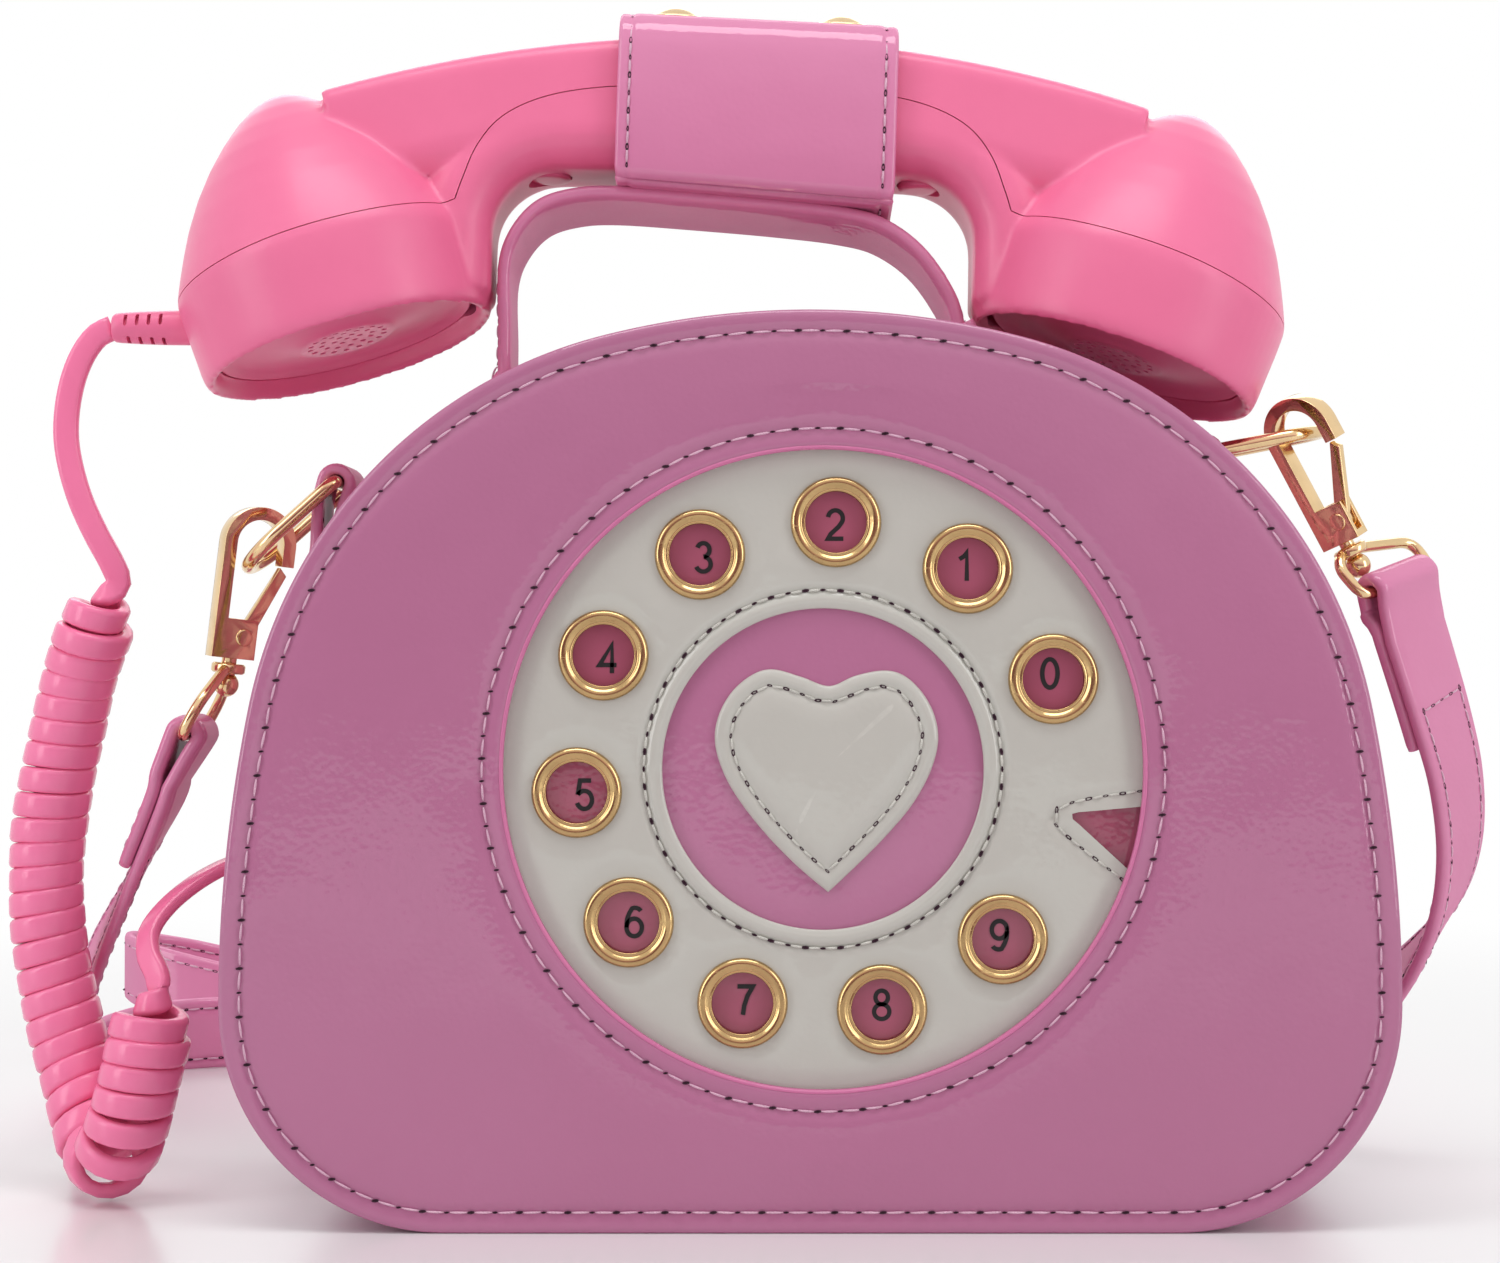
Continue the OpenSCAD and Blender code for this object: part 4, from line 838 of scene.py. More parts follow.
def rimDistance(x, z):
    # distance in from the outline, from the arc that faces the point
    x = abs(x)
    best = z
    if z < cornerAt.y and x > cornerAt.x:
        best = bagShape["corner"] - math.hypot(x - cornerAt.x, z - cornerAt.y)
    elif z >= cornerAt.y:
        best = min(best, bagShape["side"] - math.hypot(x - sideAt.x, z - sideAt.y))
    turn = math.atan2(z - crownAt.y, x)
    if turn > crownTurn:
        best = min(best, bagShape["crown"] - math.hypot(x, z - crownAt.y))
    elif z > cornerAt.y:
        towards = math.atan2(z - shoulderAt.y, x - shoulderAt.x)
        if sideTurn < towards:
            best = min(best, bagShape["shoulder"] - math.hypot(x - shoulderAt.x, z - shoulderAt.y))
    else:
        best = min(best, bagShape["width"] / 2 - x)
    return max(0.0, best)


def panelClosed():
    # the back panel: same edge and seam, puffed over its whole face
    back, thick = bagShape["depth"] / 2, bagShape["panel"]

    def depth(x, z, rim):
        return back + 1.2 * smoothStep(0, 26, rim) + surfaceWander(x, z, 9.4) * smoothStep(0, 10, rim) \
            - seamDip(rim - panelMake["seamInset"], panelMake["seamWidth"], panelMake["seamDepth"])

    edge = [(3.0, back - thick), (0.35, back - thick), (0.0, back - thick + 0.4), (0.0, back - 1.1),
            (0.05, back - 0.65), (0.35, back - 0.22)]
    edge += [(d, None) for d in (1.0, 1.5, 2.1, 2.7, 3.2, 3.6, 3.9, 4.2, 4.5, 4.9, 5.4, 6.0, 6.8, 8.0, 10.0, 13.0)]
    return roundSkin("backPanelLeather", panelMake["spokes"], edge, 15, depth)


place(panelWithWindow(), "panel", "front_cover", "patent_panel", "front_panel")
place(panelClosed(), "panel", "bag", "patent_panel", "back_panel")

halfDepth = bagShape["depth"] / 2
towardsFront = Vector((0, -1, 0))


def onFace(line, y):
    return [Vector((p.x, y, p.y)) for p in line]


sewn("frontRimStitches", onFace(bagOutline(4.0), -halfDepth - 0.02), towardsFront, "front_cover",
     "patent_panel", closed=True, slit=Vector((1, 0, 0.1)))
sewn("backRimStitches", onFace(bagOutline(4.0), halfDepth + 0.02), Vector((0, 1, 0)), "bag", "patent_panel",
     closed=True)


def circleLine(radius, y, steps=240, centre=dialAt):
    return [Vector((centre.x + radius * math.cos(2 * math.pi * i / steps), y,
                    centre.y + radius * math.sin(2 * math.pi * i / steps))) for i in range(steps)]


sewn("windowStitches", circleLine(panelMake["windowSeam"], -halfDepth - 0.02), towardsFront, "front_cover",
     "patent_panel", closed=True, pitch=4.2, slit=Vector((1, 0, 0.1)))
windowLip = []
for r, y in ((-0.25, 1.6), (-0.25, 0.5), (-0.1, 0.12), (0.15, 0.0), (0.42, 0.02), (0.6, 0.3), (0.3, 0.6), (0.05, 1.6)):
    windowLip.append([v / 1000 for v in circleLine(panelMake["windowRadius"] + r, y - halfDepth)])
place(tidyNormals(rings("windowLip", windowLip, wrap=True)), "edgePaint", "front_cover", "patent_panel")
report("panels")


# the dial: white ring, eyelets, figures, hub and heart

dialMake = {"ringFace": -37.6, "ringThick": 1.4, "seam": 33.4, "backFace": -36.2, "eyeletCircle": 46.1,
            "eyeletStart": 21.4, "eyeletStep": 32.8, "eyelets": 10, "eyeletBore": 6.5, "figureHeight": 5.3,
            "figureStroke": 0.42}


def eyeletSpot(i):
    a = math.radians(dialMake["eyeletStart"] + i * dialMake["eyeletStep"])
    return Vector((math.cos(a), math.sin(a))) * dialMake["eyeletCircle"]


def dialPoint(x, z, out):
    # a point on the dial; out is towards the viewer
    return mm(dialAt.x + x, dialMake["ringFace"] - out, dialAt.y + z)


def ringHeight(x, z):
    r = math.hypot(x, z)
    rise = 0.45 * smoothStep(30.0, 31.2, r) * (1 - smoothStep(32.0, 33.4, r))
    rise -= seamDip(r - dialMake["seam"], 0.9, 0.34)
    nearest = min((eyeletSpot(i) - Vector((x, z))).length for i in range(dialMake["eyelets"]))
    rise -= 0.28 * (1 - smoothStep(7.5, 12.5, nearest))
    rise += 0.22 * smoothStep(34.5, 40, r) + surfaceWander(x, z, 21.0) * 0.8
    for line in (notchUpper, notchLower):
        rise -= seamDip(lineDistance(Vector((x, z)), line), 0.8, 0.3)
    return rise * (1 - smoothStep(55.5, 58.8, r)) - 0.05 * smoothStep(56, 58.8, r)


def lineDistance(p, line):
    best = 99.0
    for a, b in zip(line, line[1:]):
        edge = b - a
        t = min(1, max(0, (p - a).dot(edge) / edge.length_squared))
        best = min(best, (a + edge * t - p).length)
    return best


notchUpper = [Vector(p) for p in ((42.9, -8.9), (44.0, -7.2), (47.2, -6.0), (52.5, -5.0), (59.0, -4.1))]
notchLower = [Vector(p) for p in ((42.9, -8.9), (43.4, -10.4), (46.0, -12.9), (50.6, -16.6), (55.8, -20.6))]
notchCut = [Vector(p) for p in ((46.4, -8.3), (47.6, -8.0), (62.5, -6.7), (60.0, -21.6), (47.6, -10.2), (46.5, -9.3))]


def dialRing():
    spokes = 300
    loops = []

    def ringLoop(r, out=None):
        loop = []
        for i in range(spokes):
            a = 2 * math.pi * i / spokes
            x, z = r * math.cos(a), r * math.sin(a)
            loop.append(dialPoint(x, z, ringHeight(x, z) if out is None else out))
        loops.append(loop)

    thick = dialMake["ringThick"]
    for r, out in ((31.5, -thick), (30.2, -thick), (30.0, -thick + 0.3), (29.95, -0.35), (30.02, -0.1), (30.2, 0.1)):
        ringLoop(r, out)
    r = 30.5
    while r < 60.0:
        ringLoop(r)
        r += 0.4 if r < 35 else 0.75
    for r, out in ((62.0, -0.05), (65.2, -0.05), (65.7, -0.3), (65.7, -thick + 0.2), (65.2, -thick)):
        ringLoop(r, out)
    ring = tidyNormals(rings("dialRingLeather", loops, wrap=True))
    cutter = rings("notchCutter", [[dialPoint(p.x, p.y, out) for p in notchCut] for out in (4.0, -4.0)])
    tidyNormals(cutter)
    holes, bore = [], dialMake["eyeletBore"]
    for spot in (eyeletSpot(i) for i in range(dialMake["eyelets"])):
        rim = [(spot.x + bore * math.cos(t * math.pi / 16), spot.y + bore * math.sin(t * math.pi / 16))
               for t in range(32)]
        holes.append(tidyNormals(rings("hole", [[dialPoint(x, z, out) for x, z in rim] for out in (4.0, -4.0)])))
    holes = joined("holeCutter", holes)
    for tool in (cutter, holes):
        modifier(ring, "BOOLEAN", operation="DIFFERENCE", object=tool, solver="EXACT")
    applyAll(ring)
    for tool in (cutter, holes):
        bpy.data.objects.remove(tool)
    return smoothByAngle(ring, 50)


def joined(name, things):
    # one mesh out of several objects
    bm = bmesh.new()
    for thing in things:
        bm.from_mesh(thing.data)
        bpy.data.objects.remove(thing)
    mesh = bpy.data.meshes.new(name)
    bm.to_mesh(mesh)
    bm.free()
    made = bpy.data.objects.new(name, mesh)
    scene.collection.objects.link(made)
    return made


def smoothByAngle(thing, degrees):
    mesh = thing.data
    mesh.polygons.foreach_set("use_smooth", [True] * len(mesh.polygons))
    mesh.set_sharp_from_angle(angle=math.radians(degrees))
    return thing


def lathe(name, profile, toWorld, steps=48):
    # profile of (radius, height) turned about the local Z axis
    loops = []
    for i in range(steps):
        a = 2 * math.pi * i / steps
        loops.append([toWorld @ (Vector((r * math.cos(a), r * math.sin(a), h)) / 1000) for r, h in profile])
    closedProfile = (Vector(profile[0]) - Vector(profile[-1])).length < 1e-6
    if closedProfile:
        loops = [loop[:-1] for loop in loops]
    thing = rings(name, loops, closed=closedProfile, capEnds=False, wrap=True)
    bm = bmesh.new()
    bm.from_mesh(thing.data)
    bmesh.ops.remove_doubles(bm, verts=bm.verts, dist=1e-7)
    bmesh.ops.holes_fill(bm, edges=bm.edges, sides=steps + 4)
    bmesh.ops.recalc_face_normals(bm, faces=bm.faces)
    bm.to_mesh(thing.data)
    bm.free()
    thing.data.polygons.foreach_set("use_smooth", [True] * len(thing.data.polygons))
    return thing


def facingFront(x, y, z):
    # local Z towards the viewer, at a place in millimetres
    return Matrix.Translation(mm(x, y, z)) @ Matrix.Rotation(math.pi / 2, 4, "X")


place(dialRing(), "whiteLeather", "front_cover", "patent_white", "dial_ring")

eyeletProfile = [(8.45, -0.1), (8.45, 0.2), (8.32, 0.6), (8.05, 0.92), (7.6, 1.1), (7.15, 1.08), (6.8, 0.9),
                 (6.5, 0.62), (6.32, 0.5), (6.16, 0.52), (6.02, 0.64), (5.86, 0.66), (5.74, 0.5), (5.7, 0.2),
                 (5.7, -1.36),
                 (6.2, -1.36), (6.3, -0.3), (6.6, -0.1), (8.45, -0.1)]
eyelets = []
for i in range(dialMake["eyelets"]):
    spot = eyeletSpot(i)
    eyelets.append(lathe("eyelet", eyeletProfile,
                         facingFront(dialAt.x + spot.x, dialMake["ringFace"], dialAt.y + spot.y), 56))
place(joined("dialEyelets", eyelets), "eyeletBrassShaded", "front_cover", "gold_hardware", "dial_eyelets")


def softDisc(name, radius, face, thick, puff, rim, seed, steps=120):
    # round leather piece with a turned edge, seen from the front
    loops = []
    for r, out in ((radius - 1.2, -thick), (radius, -thick + 0.2), (radius, -0.3), (radius - 0.25, -0.06)):
        loops.append((r, out, False))
    r = radius - 0.8
    while r > 0.5:
        loops.append((r, 0.0, True))
        r -= 1.1 if r > radius - rim else 2.2
    rows = []
    for r, out, soft in loops:
        row = []
        for i in range(steps):
            a = 2 * math.pi * i / steps
            x, z = r * math.cos(a), r * math.sin(a)
            rise = out
            if soft:
                rise += puff * smoothStep(0, rim, radius - r) + surfaceWander(x, z, seed) * 1.3
            row.append(mm(dialAt.x + x, face - rise, dialAt.y + z))
        rows.append(row)
    return tidyNormals(rings(name, rows))


# the backing's deeper pink is painted shade for the hollows behind the eyelets
place(softDisc("dialBackingLeather", 65.6, dialMake["backFace"], 1.1, 0.0, 4, 33.0), "backing", "front_cover",
      "dial_backing", "dial_backing")
place(softDisc("hubLeather", 31.6, dialMake["backFace"] - 0.12, 0.3, 0.25, 7, 45.0), "panel", "front_cover",
      "patent_panel")

heartPoints = [(1.2, 15.5), (6.0, 17.4), (11.4, 18.4), (15.2, 17.4), (18.6, 14.2), (20.9, 9.8), (21.5, 4.9),
               (19.9, -0.9), (16.5, -6.9), (11.4, -12.9), (6.0, -18.3), (1.0, -23.0), (-4.4, -18.5), (-9.9, -13.0),
               (-14.8, -7.0), (-18.2, -1.5), (-20.1, 4.5), (-19.6, 9.6), (-17.0, 14.4), (-13.0, 17.7), (-9.2, 18.6),
               (-4.0, 17.2)]


def heartOutline():
    # smooth everywhere but at the point
    tip = heartPoints.index((1.0, -23.0))
    order = [Vector(p) for p in heartPoints[tip:] + heartPoints[:tip + 1]]
    return spline(order, 8)[:-1]


def heartPatch():
    outline = heartOutline()
    centre = Vector((0.8, 0.5))
    spread = resample([Vector((p.x, p.y, 0)) for p in outline], 0.45, closed=True)
    tree = kdOf(spread)
    rows = []
    base = dialMake["backFace"]
    for inward, y in ((1.0, base + 0.1), (0.05, base + 0.02), (0.0, base - 0.5), (0.12, base - 0.95),
                      (0.45, base - 1.2)):
        rows.append([mm(dialAt.x + centre.x + (p.x - centre.x) * k, y, dialAt.y + centre.y + (p.y - centre.y) * k)
                     for p in spread for k in [1 - inward / max(6, (p - Vector((centre.x, centre.y, 0))).length)]])
    for k in range(1, 27):
        shrink = 1 - 0.035 - (k / 27) ** 1.15 * 0.95
        row = []
        for p in spread:
            x, z = centre.x + (p.x - centre.x) * shrink, centre.y + (p.y - centre.y) * shrink
            inside = tree.find(Vector((x, z, 0)))[2]
            rise = 1.3 + 0.35 * smoothStep(0, 2.2, inside) - seamDip(inside - 3.0, 0.9, 0.42) \
                + 0.25 * smoothStep(3.4, 7, inside) + surfaceWander(x, z, 61.0) * 0.7
            row.append(mm(dialAt.x + x, base - rise, dialAt.y + z))
        rows.append(row)
    return tidyNormals(rings("heartPatchLeather", rows)), spread


def kdOf(points):
    tree = kdtree.KDTree(len(points))
    for i, p in enumerate(points):
        tree.insert(p, i)
    tree.balance()
    return tree


def inwardLine(points, inset):
    # closed line shifted inwards, with crossed-over corners dropped
    tree = kdOf(points)
    area = sum(a.x * b.y - b.x * a.y for a, b in zip(points, points[1:] + points[:1]))
    way = 1 if area > 0 else -1
    out = []
    for p, t in zip(points, tangents(points, True)):
        q = p + Vector((-t.y, t.x, 0)) * inset * way
        if tree.find(q)[2] > inset * 0.94:
            out.append(q)
    return out


heartLeather, heartRim = heartPatch()
place(heartLeather, "whiteLeather", "front_cover", "patent_white", "heart_patch")
heartSeam = [Vector((dialAt.x + p.x, dialMake["backFace"] - 1.36, dialAt.y + p.y)) for p in inwardLine(heartRim, 3.0)]
sewn("heartStitches", heartSeam, towardsFront, "front_cover", "patent_white", thread="whiteThread", pitch=3.2,
     radius=0.24, closed=True)
sewn("hubStitches", circleLine(dialMake["seam"], dialMake["ringFace"]), towardsFront, "front_cover",
     "patent_white", thread="whiteThread", pitch=3.3, radius=0.26, closed=True)
notchSeam = [Vector((dialAt.x + p.x, dialMake["ringFace"] - 0.02, dialAt.y + p.y))
             for p in spline(list(reversed(notchUpper)) + notchLower[1:], 6)]
sewn("notchStitches", notchSeam, towardsFront, "front_cover", "patent_white", thread="whiteThread", pitch=3.1,
     radius=0.26)


# figures drawn as strokes on a unit cell, bottom left at 0,0
def bow(cx, cy, rx, ry, start, end, steps=18):
    return [(cx + rx * math.cos(math.radians(start + (end - start) * i / steps)),
             cy + ry * math.sin(math.radians(start + (end - start) * i / steps))) for i in range(steps + 1)]


figureStrokes = {
    "0": [bow(0.3, 0.5, 0.27, 0.5, 0, 360, 36)],
    "1": [[(0.1, 0.76), (0.26, 0.86), (0.36, 1.0), (0.36, 0.0)]],
    "2": [bow(0.29, 0.72, 0.26, 0.28, 172, -28) + [(0.4, 0.42), (0.12, 0.16), (0.03, 0.0), (0.57, 0.0)]],
    "3": [bow(0.28, 0.76, 0.22, 0.24, 160, -88), bow(0.28, 0.26, 0.26, 0.26, 84, -160)],
    "4": [[(0.44, 0.0), (0.44, 1.0), (0.0, 0.29), (0.6, 0.29)]],
    "5": [[(0.53, 1.0), (0.14, 1.0), (0.06, 0.5)], [(0.06, 0.5)] + bow(0.29, 0.32, 0.27, 0.32, 132, -160)],
    "6": [bow(0.33, 0.74, 0.25, 0.26, 35, 120)[:-1] + [(0.12, 0.8), (0.05, 0.6), (0.03, 0.36)]
          + bow(0.3, 0.31, 0.27, 0.31, 180, 540, 32)],
    "7": [[(0.03, 1.0), (0.57, 1.0), (0.38, 0.66), (0.27, 0.33), (0.22, 0.0)]],
    "8": [bow(0.3, 0.76, 0.22, 0.24, 0, 360, 30), bow(0.3, 0.26, 0.27, 0.26, 0, 360, 32)],
    "9": [bow(0.27, 0.26, 0.25, 0.26, -145, -60)[:-1] + [(0.48, 0.2), (0.55, 0.4), (0.57, 0.64)]
          + bow(0.3, 0.69, 0.27, 0.31, 0, -360, 32)],
}
figureShifts = {"0": (-0.5, 1.0), "1": (-0.4, 0.4), "2": (0.0, -0.4), "3": (0.7, -0.5), "4": (0.8, -0.7),
                "5": (1.4, -0.5), "6": (1.0, -0.1), "7": (0.5, 0.3), "8": (0.0, 0.7), "9": (-0.5, 0.6)}


def figure(label, x, z):
    # flat ribbons with square ends, a hair proud of the backing
    verts, faces = [], []
    tall, half = dialMake["figureHeight"], dialMake["figureStroke"]
    for stroke in figureStrokes[label]:
        line = [Vector((x + (u - 0.3) * tall, z + (v - 0.5) * tall)) for u, v in stroke]
        ways = [(b - a).normalized() for a, b in zip(line, line[1:])]
        loopBack = (line[0] - line[-1]).length < 0.02 * tall
        before, after = (ways[-1], ways[0]) if loopBack else (ways[0], ways[-1])
        loops = []
        for p, a, b in zip(line, [before] + ways, ways + [after]):
            way = (a + b).normalized()
            side = Vector((-way.y, way.x))
            reach = half / max(0.45, math.sqrt(max(0.0, (1 + a.dot(b)) / 2)))
            corners = [(out, p + side * s * reach) for out, s in ((0.09, 1), (0.09, -1), (0.0, -1), (0.0, 1))]
            loops.append([mm(q.x, dialMake["backFace"] - out, q.y) for out, q in corners])
        stack(verts, faces, loops)
    return tidyNormals(addMesh("figure" + label, verts, faces, smooth=False))


figures = []
for i, label in enumerate("0123456789"[:dialMake["eyelets"]]):
    spot = dialAt + eyeletSpot(i) + Vector(figureShifts[label])
    figures.append(figure(label, spot.x, spot.y))
place(joined("dialFigures", figures), "ink", "front_cover", "dial_backing")
report("dial")


# the handset

handsetMake = {"middle": (-14, 2, 216), "roll": 6.0, "tilt": 1.3, "gripHeight": 24.0, "gripDepth": 27.0,
               "gripRadius": 267.0, "gripReach": 17.8, "cupOut": 75.2, "cupDrop": 39.0, "cupLean": 18.0,
               "wall": 2.2, "partGap": 0.22, "voxel": 0.75, "capAt": 36.7, "capRadius": 4.2}
handsetPlace = (Matrix.Translation(mm(*handsetMake["middle"]))
                @ Matrix.Rotation(math.radians(-handsetMake["roll"]), 4, "X")
                @ Matrix.Rotation(math.radians(handsetMake["tilt"]), 4, "Y")
                @ Matrix.Translation(mm(0, 0, -handsetMake["gripHeight"] / 2)))


def cupPlace(side):
    return (handsetPlace @ Matrix.Translation(mm(side * handsetMake["cupOut"], 0, -handsetMake["cupDrop"]))
            @ Matrix.Rotation(math.radians(side * handsetMake["cupLean"]), 4, "Y"))


def cornerArcs(corners, steps=5):
    # closed section through (x, y, radius, start angle) corners, a quarter turn at each
    points = []
    for x, y, radius, start in corners:
        for k in range(steps + 1):
            a = math.radians(start + 90 * k / steps)
            points.append((x + radius * math.cos(a), y + radius * math.sin(a)))
    return points


def gripBody(inset):
    half = handsetMake["gripDepth"] / 2 - inset
    top = handsetMake["gripRadius"] - inset
    low = handsetMake["gripRadius"] - handsetMake["gripHeight"] + inset
    a, b = max(1.0, 3.5 - inset), max(2.0, 8.0 - inset)
    section = cornerArcs([(top - a, half - a, a, 0), (low + b, half - b, b, 90), (low + b, -half + b, b, 180),
                          (top - a, -half + a, a, 270)])
    centre = handsetMake["gripHeight"] - handsetMake["gripRadius"]
    loops = []
    for i in range(61):
        t = math.radians(handsetMake["gripReach"] * (2 * i / 60 - 1))
        loops.append([handsetPlace @ mm(r * math.sin(t), y, centre + r * math.cos(t)) for r, y in section])
    return tidyNormals(rings("grip", loops))


cupOutside = [(0, 4.2), (25.9, 4.2), (26.3, 3.0), (26.9, 1.2), (27.8, 0.15), (28.6, 0.3), (29.2, 1.2), (29.5, 3.0),
              (29.8, 8.0), (30.15, 13.0), (30.3, 17.2), (30.0, 18.6), (28.9, 21.4), (26.9, 26.0), (24.6, 30.8),
              (21.3, 36.4), (17.5, 41.6), (13.6, 46.0), (9.8, 49.6), (6.2, 52.2), (3.0, 53.8), (0, 54.4)]
cupInside = [(0, 2.0), (25.9, 2.0), (26.0, 6.0), (27.4, 8.0), (28.0, 17.2), (26.4, 21.4), (22.4, 29.8), (15.5, 40.6),
             (8.0, 48.0), (0, 51.8)]


def neckBody(side, inset):
    # from inside the grip, round the corner and down into the cup
    path = [Vector((34.0 - 26 * (1 - k / 4), 0, 5.4)) for k in range(4)]
    path += [Vector((34.4 + 20.6 * math.sin(math.radians(t)), 0, -15.4 + 20.6 * math.cos(math.radians(t))))
             for t in range(0, 91, 9)]
    path += [Vector((55.0, 0, -15.4 - k * 4.0)) for k in range(1, 4)]
    section = roundedSection(15.2 - 2 * inset, handsetMake["gripDepth"] - 2 * inset, 7.2 - inset, 5)
    loops = []
    for at, t in zip(path, tangents(path)):
        across = Vector((t.z, 0, -t.x))
        loops.append([handsetPlace @ ((Vector((side * (at.x + across.x * u), v, at.z + across.z * u))) / 1000)
                      for u, v in section])
    return tidyNormals(rings("neck", loops))


def handsetMass(name, inset, profile, voxel):
    parts = [gripBody(inset)]
    for side in (-1, 1):
        parts += [lathe("cup", profile, cupPlace(side), 72), neckBody(side, inset)]
    mass = joined(name, parts)
    modifier(mass, "REMESH", mode="VOXEL", voxel_size=voxel / 1000, adaptivity=0.0)
    modifier(mass, "SMOOTH", factor=0.5, iterations=3)
    return applyAll(mass)


partLine = [(-118, -34.6), (-103, -28.8), (-88, -23.2), (-72, -17.6), (-60.5, -13.2), (-54.2, -10.6), (-52.9, -6.5),
            (-50.2, 0.4), (-45.6, 6.0), (-38.5, 9.8), (-29.0, 12.0), (-16.0, 13.0), (0, 13.2)]
partLine += [(-u, w) for u, w in reversed(partLine[:-1])]


def partRegion(name, shift, far):
    # everything on one side of the parting line
    cusps = [5, len(partLine) - 6]
    points = [Vector((u, 0, w)) for u, w in partLine]
    line = []
    for a, b in zip([0] + cusps, cusps + [len(points) - 1]):
        line += spline(points[a:b + 1], 6)[:-1]
    line.append(points[-1])
    moved = [p + Vector((-t.z, 0, t.x)) * shift for p, t in zip(line, tangents(line))]
    outline = moved + [Vector((moved[-1].x, 0, far)), Vector((moved[0].x, 0, far))]
    return tidyNormals(rings(name, [[handsetPlace @ ((p + Vector((0, y, 0))) / 1000) for p in outline]
                                    for y in (-60, 60)]))


def cutWith(thing, tool, operation="DIFFERENCE"):
    modifier(thing, "BOOLEAN", operation=operation, object=tool, solver="MANIFOLD")
    applyAll(thing)
    bpy.data.objects.remove(tool)
    return thing


def copyOf(thing, name):
    made = bpy.data.objects.new(name, thing.data.copy())
    scene.collection.objects.link(made)
    return made


def buildHandset():
    outside = handsetMass("handsetOutside", 0.0, cupOutside, handsetMake["voxel"])
    inside = handsetMass("handsetInside", handsetMake["wall"], cupInside, 1.3)
    cutWith(outside, inside)
    upper = copyOf(outside, "handsetUpperShell")
    lower = outside
    lower.name = "handsetLowerShell"
    gap = handsetMake["partGap"] / 2
    cutWith(upper, partRegion("aboveLine", gap, 90), "INTERSECT")
    cutWith(lower, partRegion("belowLine", -gap, -120), "INTERSECT")
    for side in (-1, 1):
        bore = lathe("capBore", [(0, -4), (handsetMake["capRadius"] + 0.15, -4), (handsetMake["capRadius"] + 0.15, 3),
                                 (0, 3)], capFrame(side), 40)
        cutWith(lower, tidyNormals(bore))
    for shell in (upper, lower):
        smoothByAngle(shell, 38)
    return upper, lower


def capFrame(side):
    low = handsetMake["gripHeight"] - handsetMake["gripRadius"]
    under = low + math.sqrt((handsetMake["gripRadius"] - handsetMake["gripHeight"]) ** 2 - handsetMake["capAt"] ** 2)
    return handsetPlace @ Matrix.Translation(mm(side * handsetMake["capAt"], 0, under))


upperShell, lowerShell = buildHandset()
place(upperShell, "handset", "bag", "handset_plastic", "handset_upper_shell")
place(lowerShell, "handset", "bag", "handset_plastic", "handset_lower_shell")

roundCap = [(0, -0.25), (2.6, -0.28), (3.7, -0.22), (4.05, 0.05), (4.1, 0.5), (4.1, 0.8), (0, 0.8)]
screwCover = lathe("screwCover", roundCap, capFrame(-1), 40)
place(smoothByAngle(screwCover, 40), "handset", "bag", "handset_plastic", "screw_cap")
buttonProfile = [(0, -0.72), (2.4, -0.8), (3.4, -0.72), (3.9, -0.4), (4.05, 0.1), (4.1, 1.2), (4.1, 4.2), (0, 4.2)]
answerKey = lathe("answerKey", buttonProfile, capFrame(1), 40)
place(smoothByAngle(answerKey, 40), "handset", "answer_button", "handset_plastic", "answer_button")


def speakingCap(name, side, rows):
    # dished disc with a ring lip and drilled holes
    profile = [(0, 3.2), (5, 3.05), (9.4, 2.7), (10.0, 2.95), (11.5, 3.4), (18, 4.3), (23.0, 4.55), (24.6, 4.0),
               (25.3, 3.7), (25.75, 4.0), (25.8, 5.6), (0, 5.6)]
    disc = tidyNormals(lathe(name, profile, cupPlace(side), 72))
    drills = []
    for radius, count in rows:
        for k in range(count):
            a = 2 * math.pi * k / count
            spot = cupPlace(side) @ Matrix.Translation(mm(radius * math.cos(a), radius * math.sin(a), 0))
            drills.append(lathe("drill", [(0, 1.0), (0.62, 1.0), (0.62, 4.9), (0, 4.9)], spot, 12))
    cutWith(disc, tidyNormals(joined("drills", drills)))
    return smoothByAngle(disc, 35)


capHoles = [(0, 1), (2.6, 6), (5.2, 12), (7.6, 18)]
place(speakingCap("earpieceDisc", -1, capHoles), "handset", "bag", "handset_plastic", "earpiece_cap")
place(speakingCap("mouthpieceDisc", 1, capHoles), "handset", "bag", "handset_plastic", "mouthpiece_cap")


def strainSleeve():
    # tapered sleeve with four rows of slots, along -X from the cup
    frameAt = Matrix.Translation(mm(-123, -2, 172.2)) @ Matrix.Rotation(-math.pi / 2, 4, "Y")
    profile = [(0, -4.5), (3.4, -4.5), (3.45, 0.0), (3.42, 4), (3.25, 9), (3.0, 13.2), (2.85, 14.3), (2.5, 14.8),
               (0, 14.9)]
    sleeve = tidyNormals(lathe("strainSleeve", profile, frameAt, 56))
    slots = []
    for row in range(4):
        for turn in range(4):
            h = 4.4 + row * 2.35 + (0.5 if turn % 2 else 0)
            a = math.radians(90 * turn + 28)
            corners = []
            for depth in (1.9, 4.2):
                corner = []
                for w, v in roundedSection(0.72, 2.6, 0.3, 2):
                    corner.append(frameAt @ mm(depth * math.cos(a) - v * math.sin(a),
                                               depth * math.sin(a) + v * math.cos(a), h + w))
                corners.append(corner)
            slots.append(rings("slot", corners))
    return smoothByAngle(cutWith(sleeve, tidyNormals(joined("slots", slots))), 40)


place(strainSleeve(), "handset", "bag", "handset_plastic", "strain_relief")
report("handset")


# leather strips, shared by the band, handle, tabs and strap

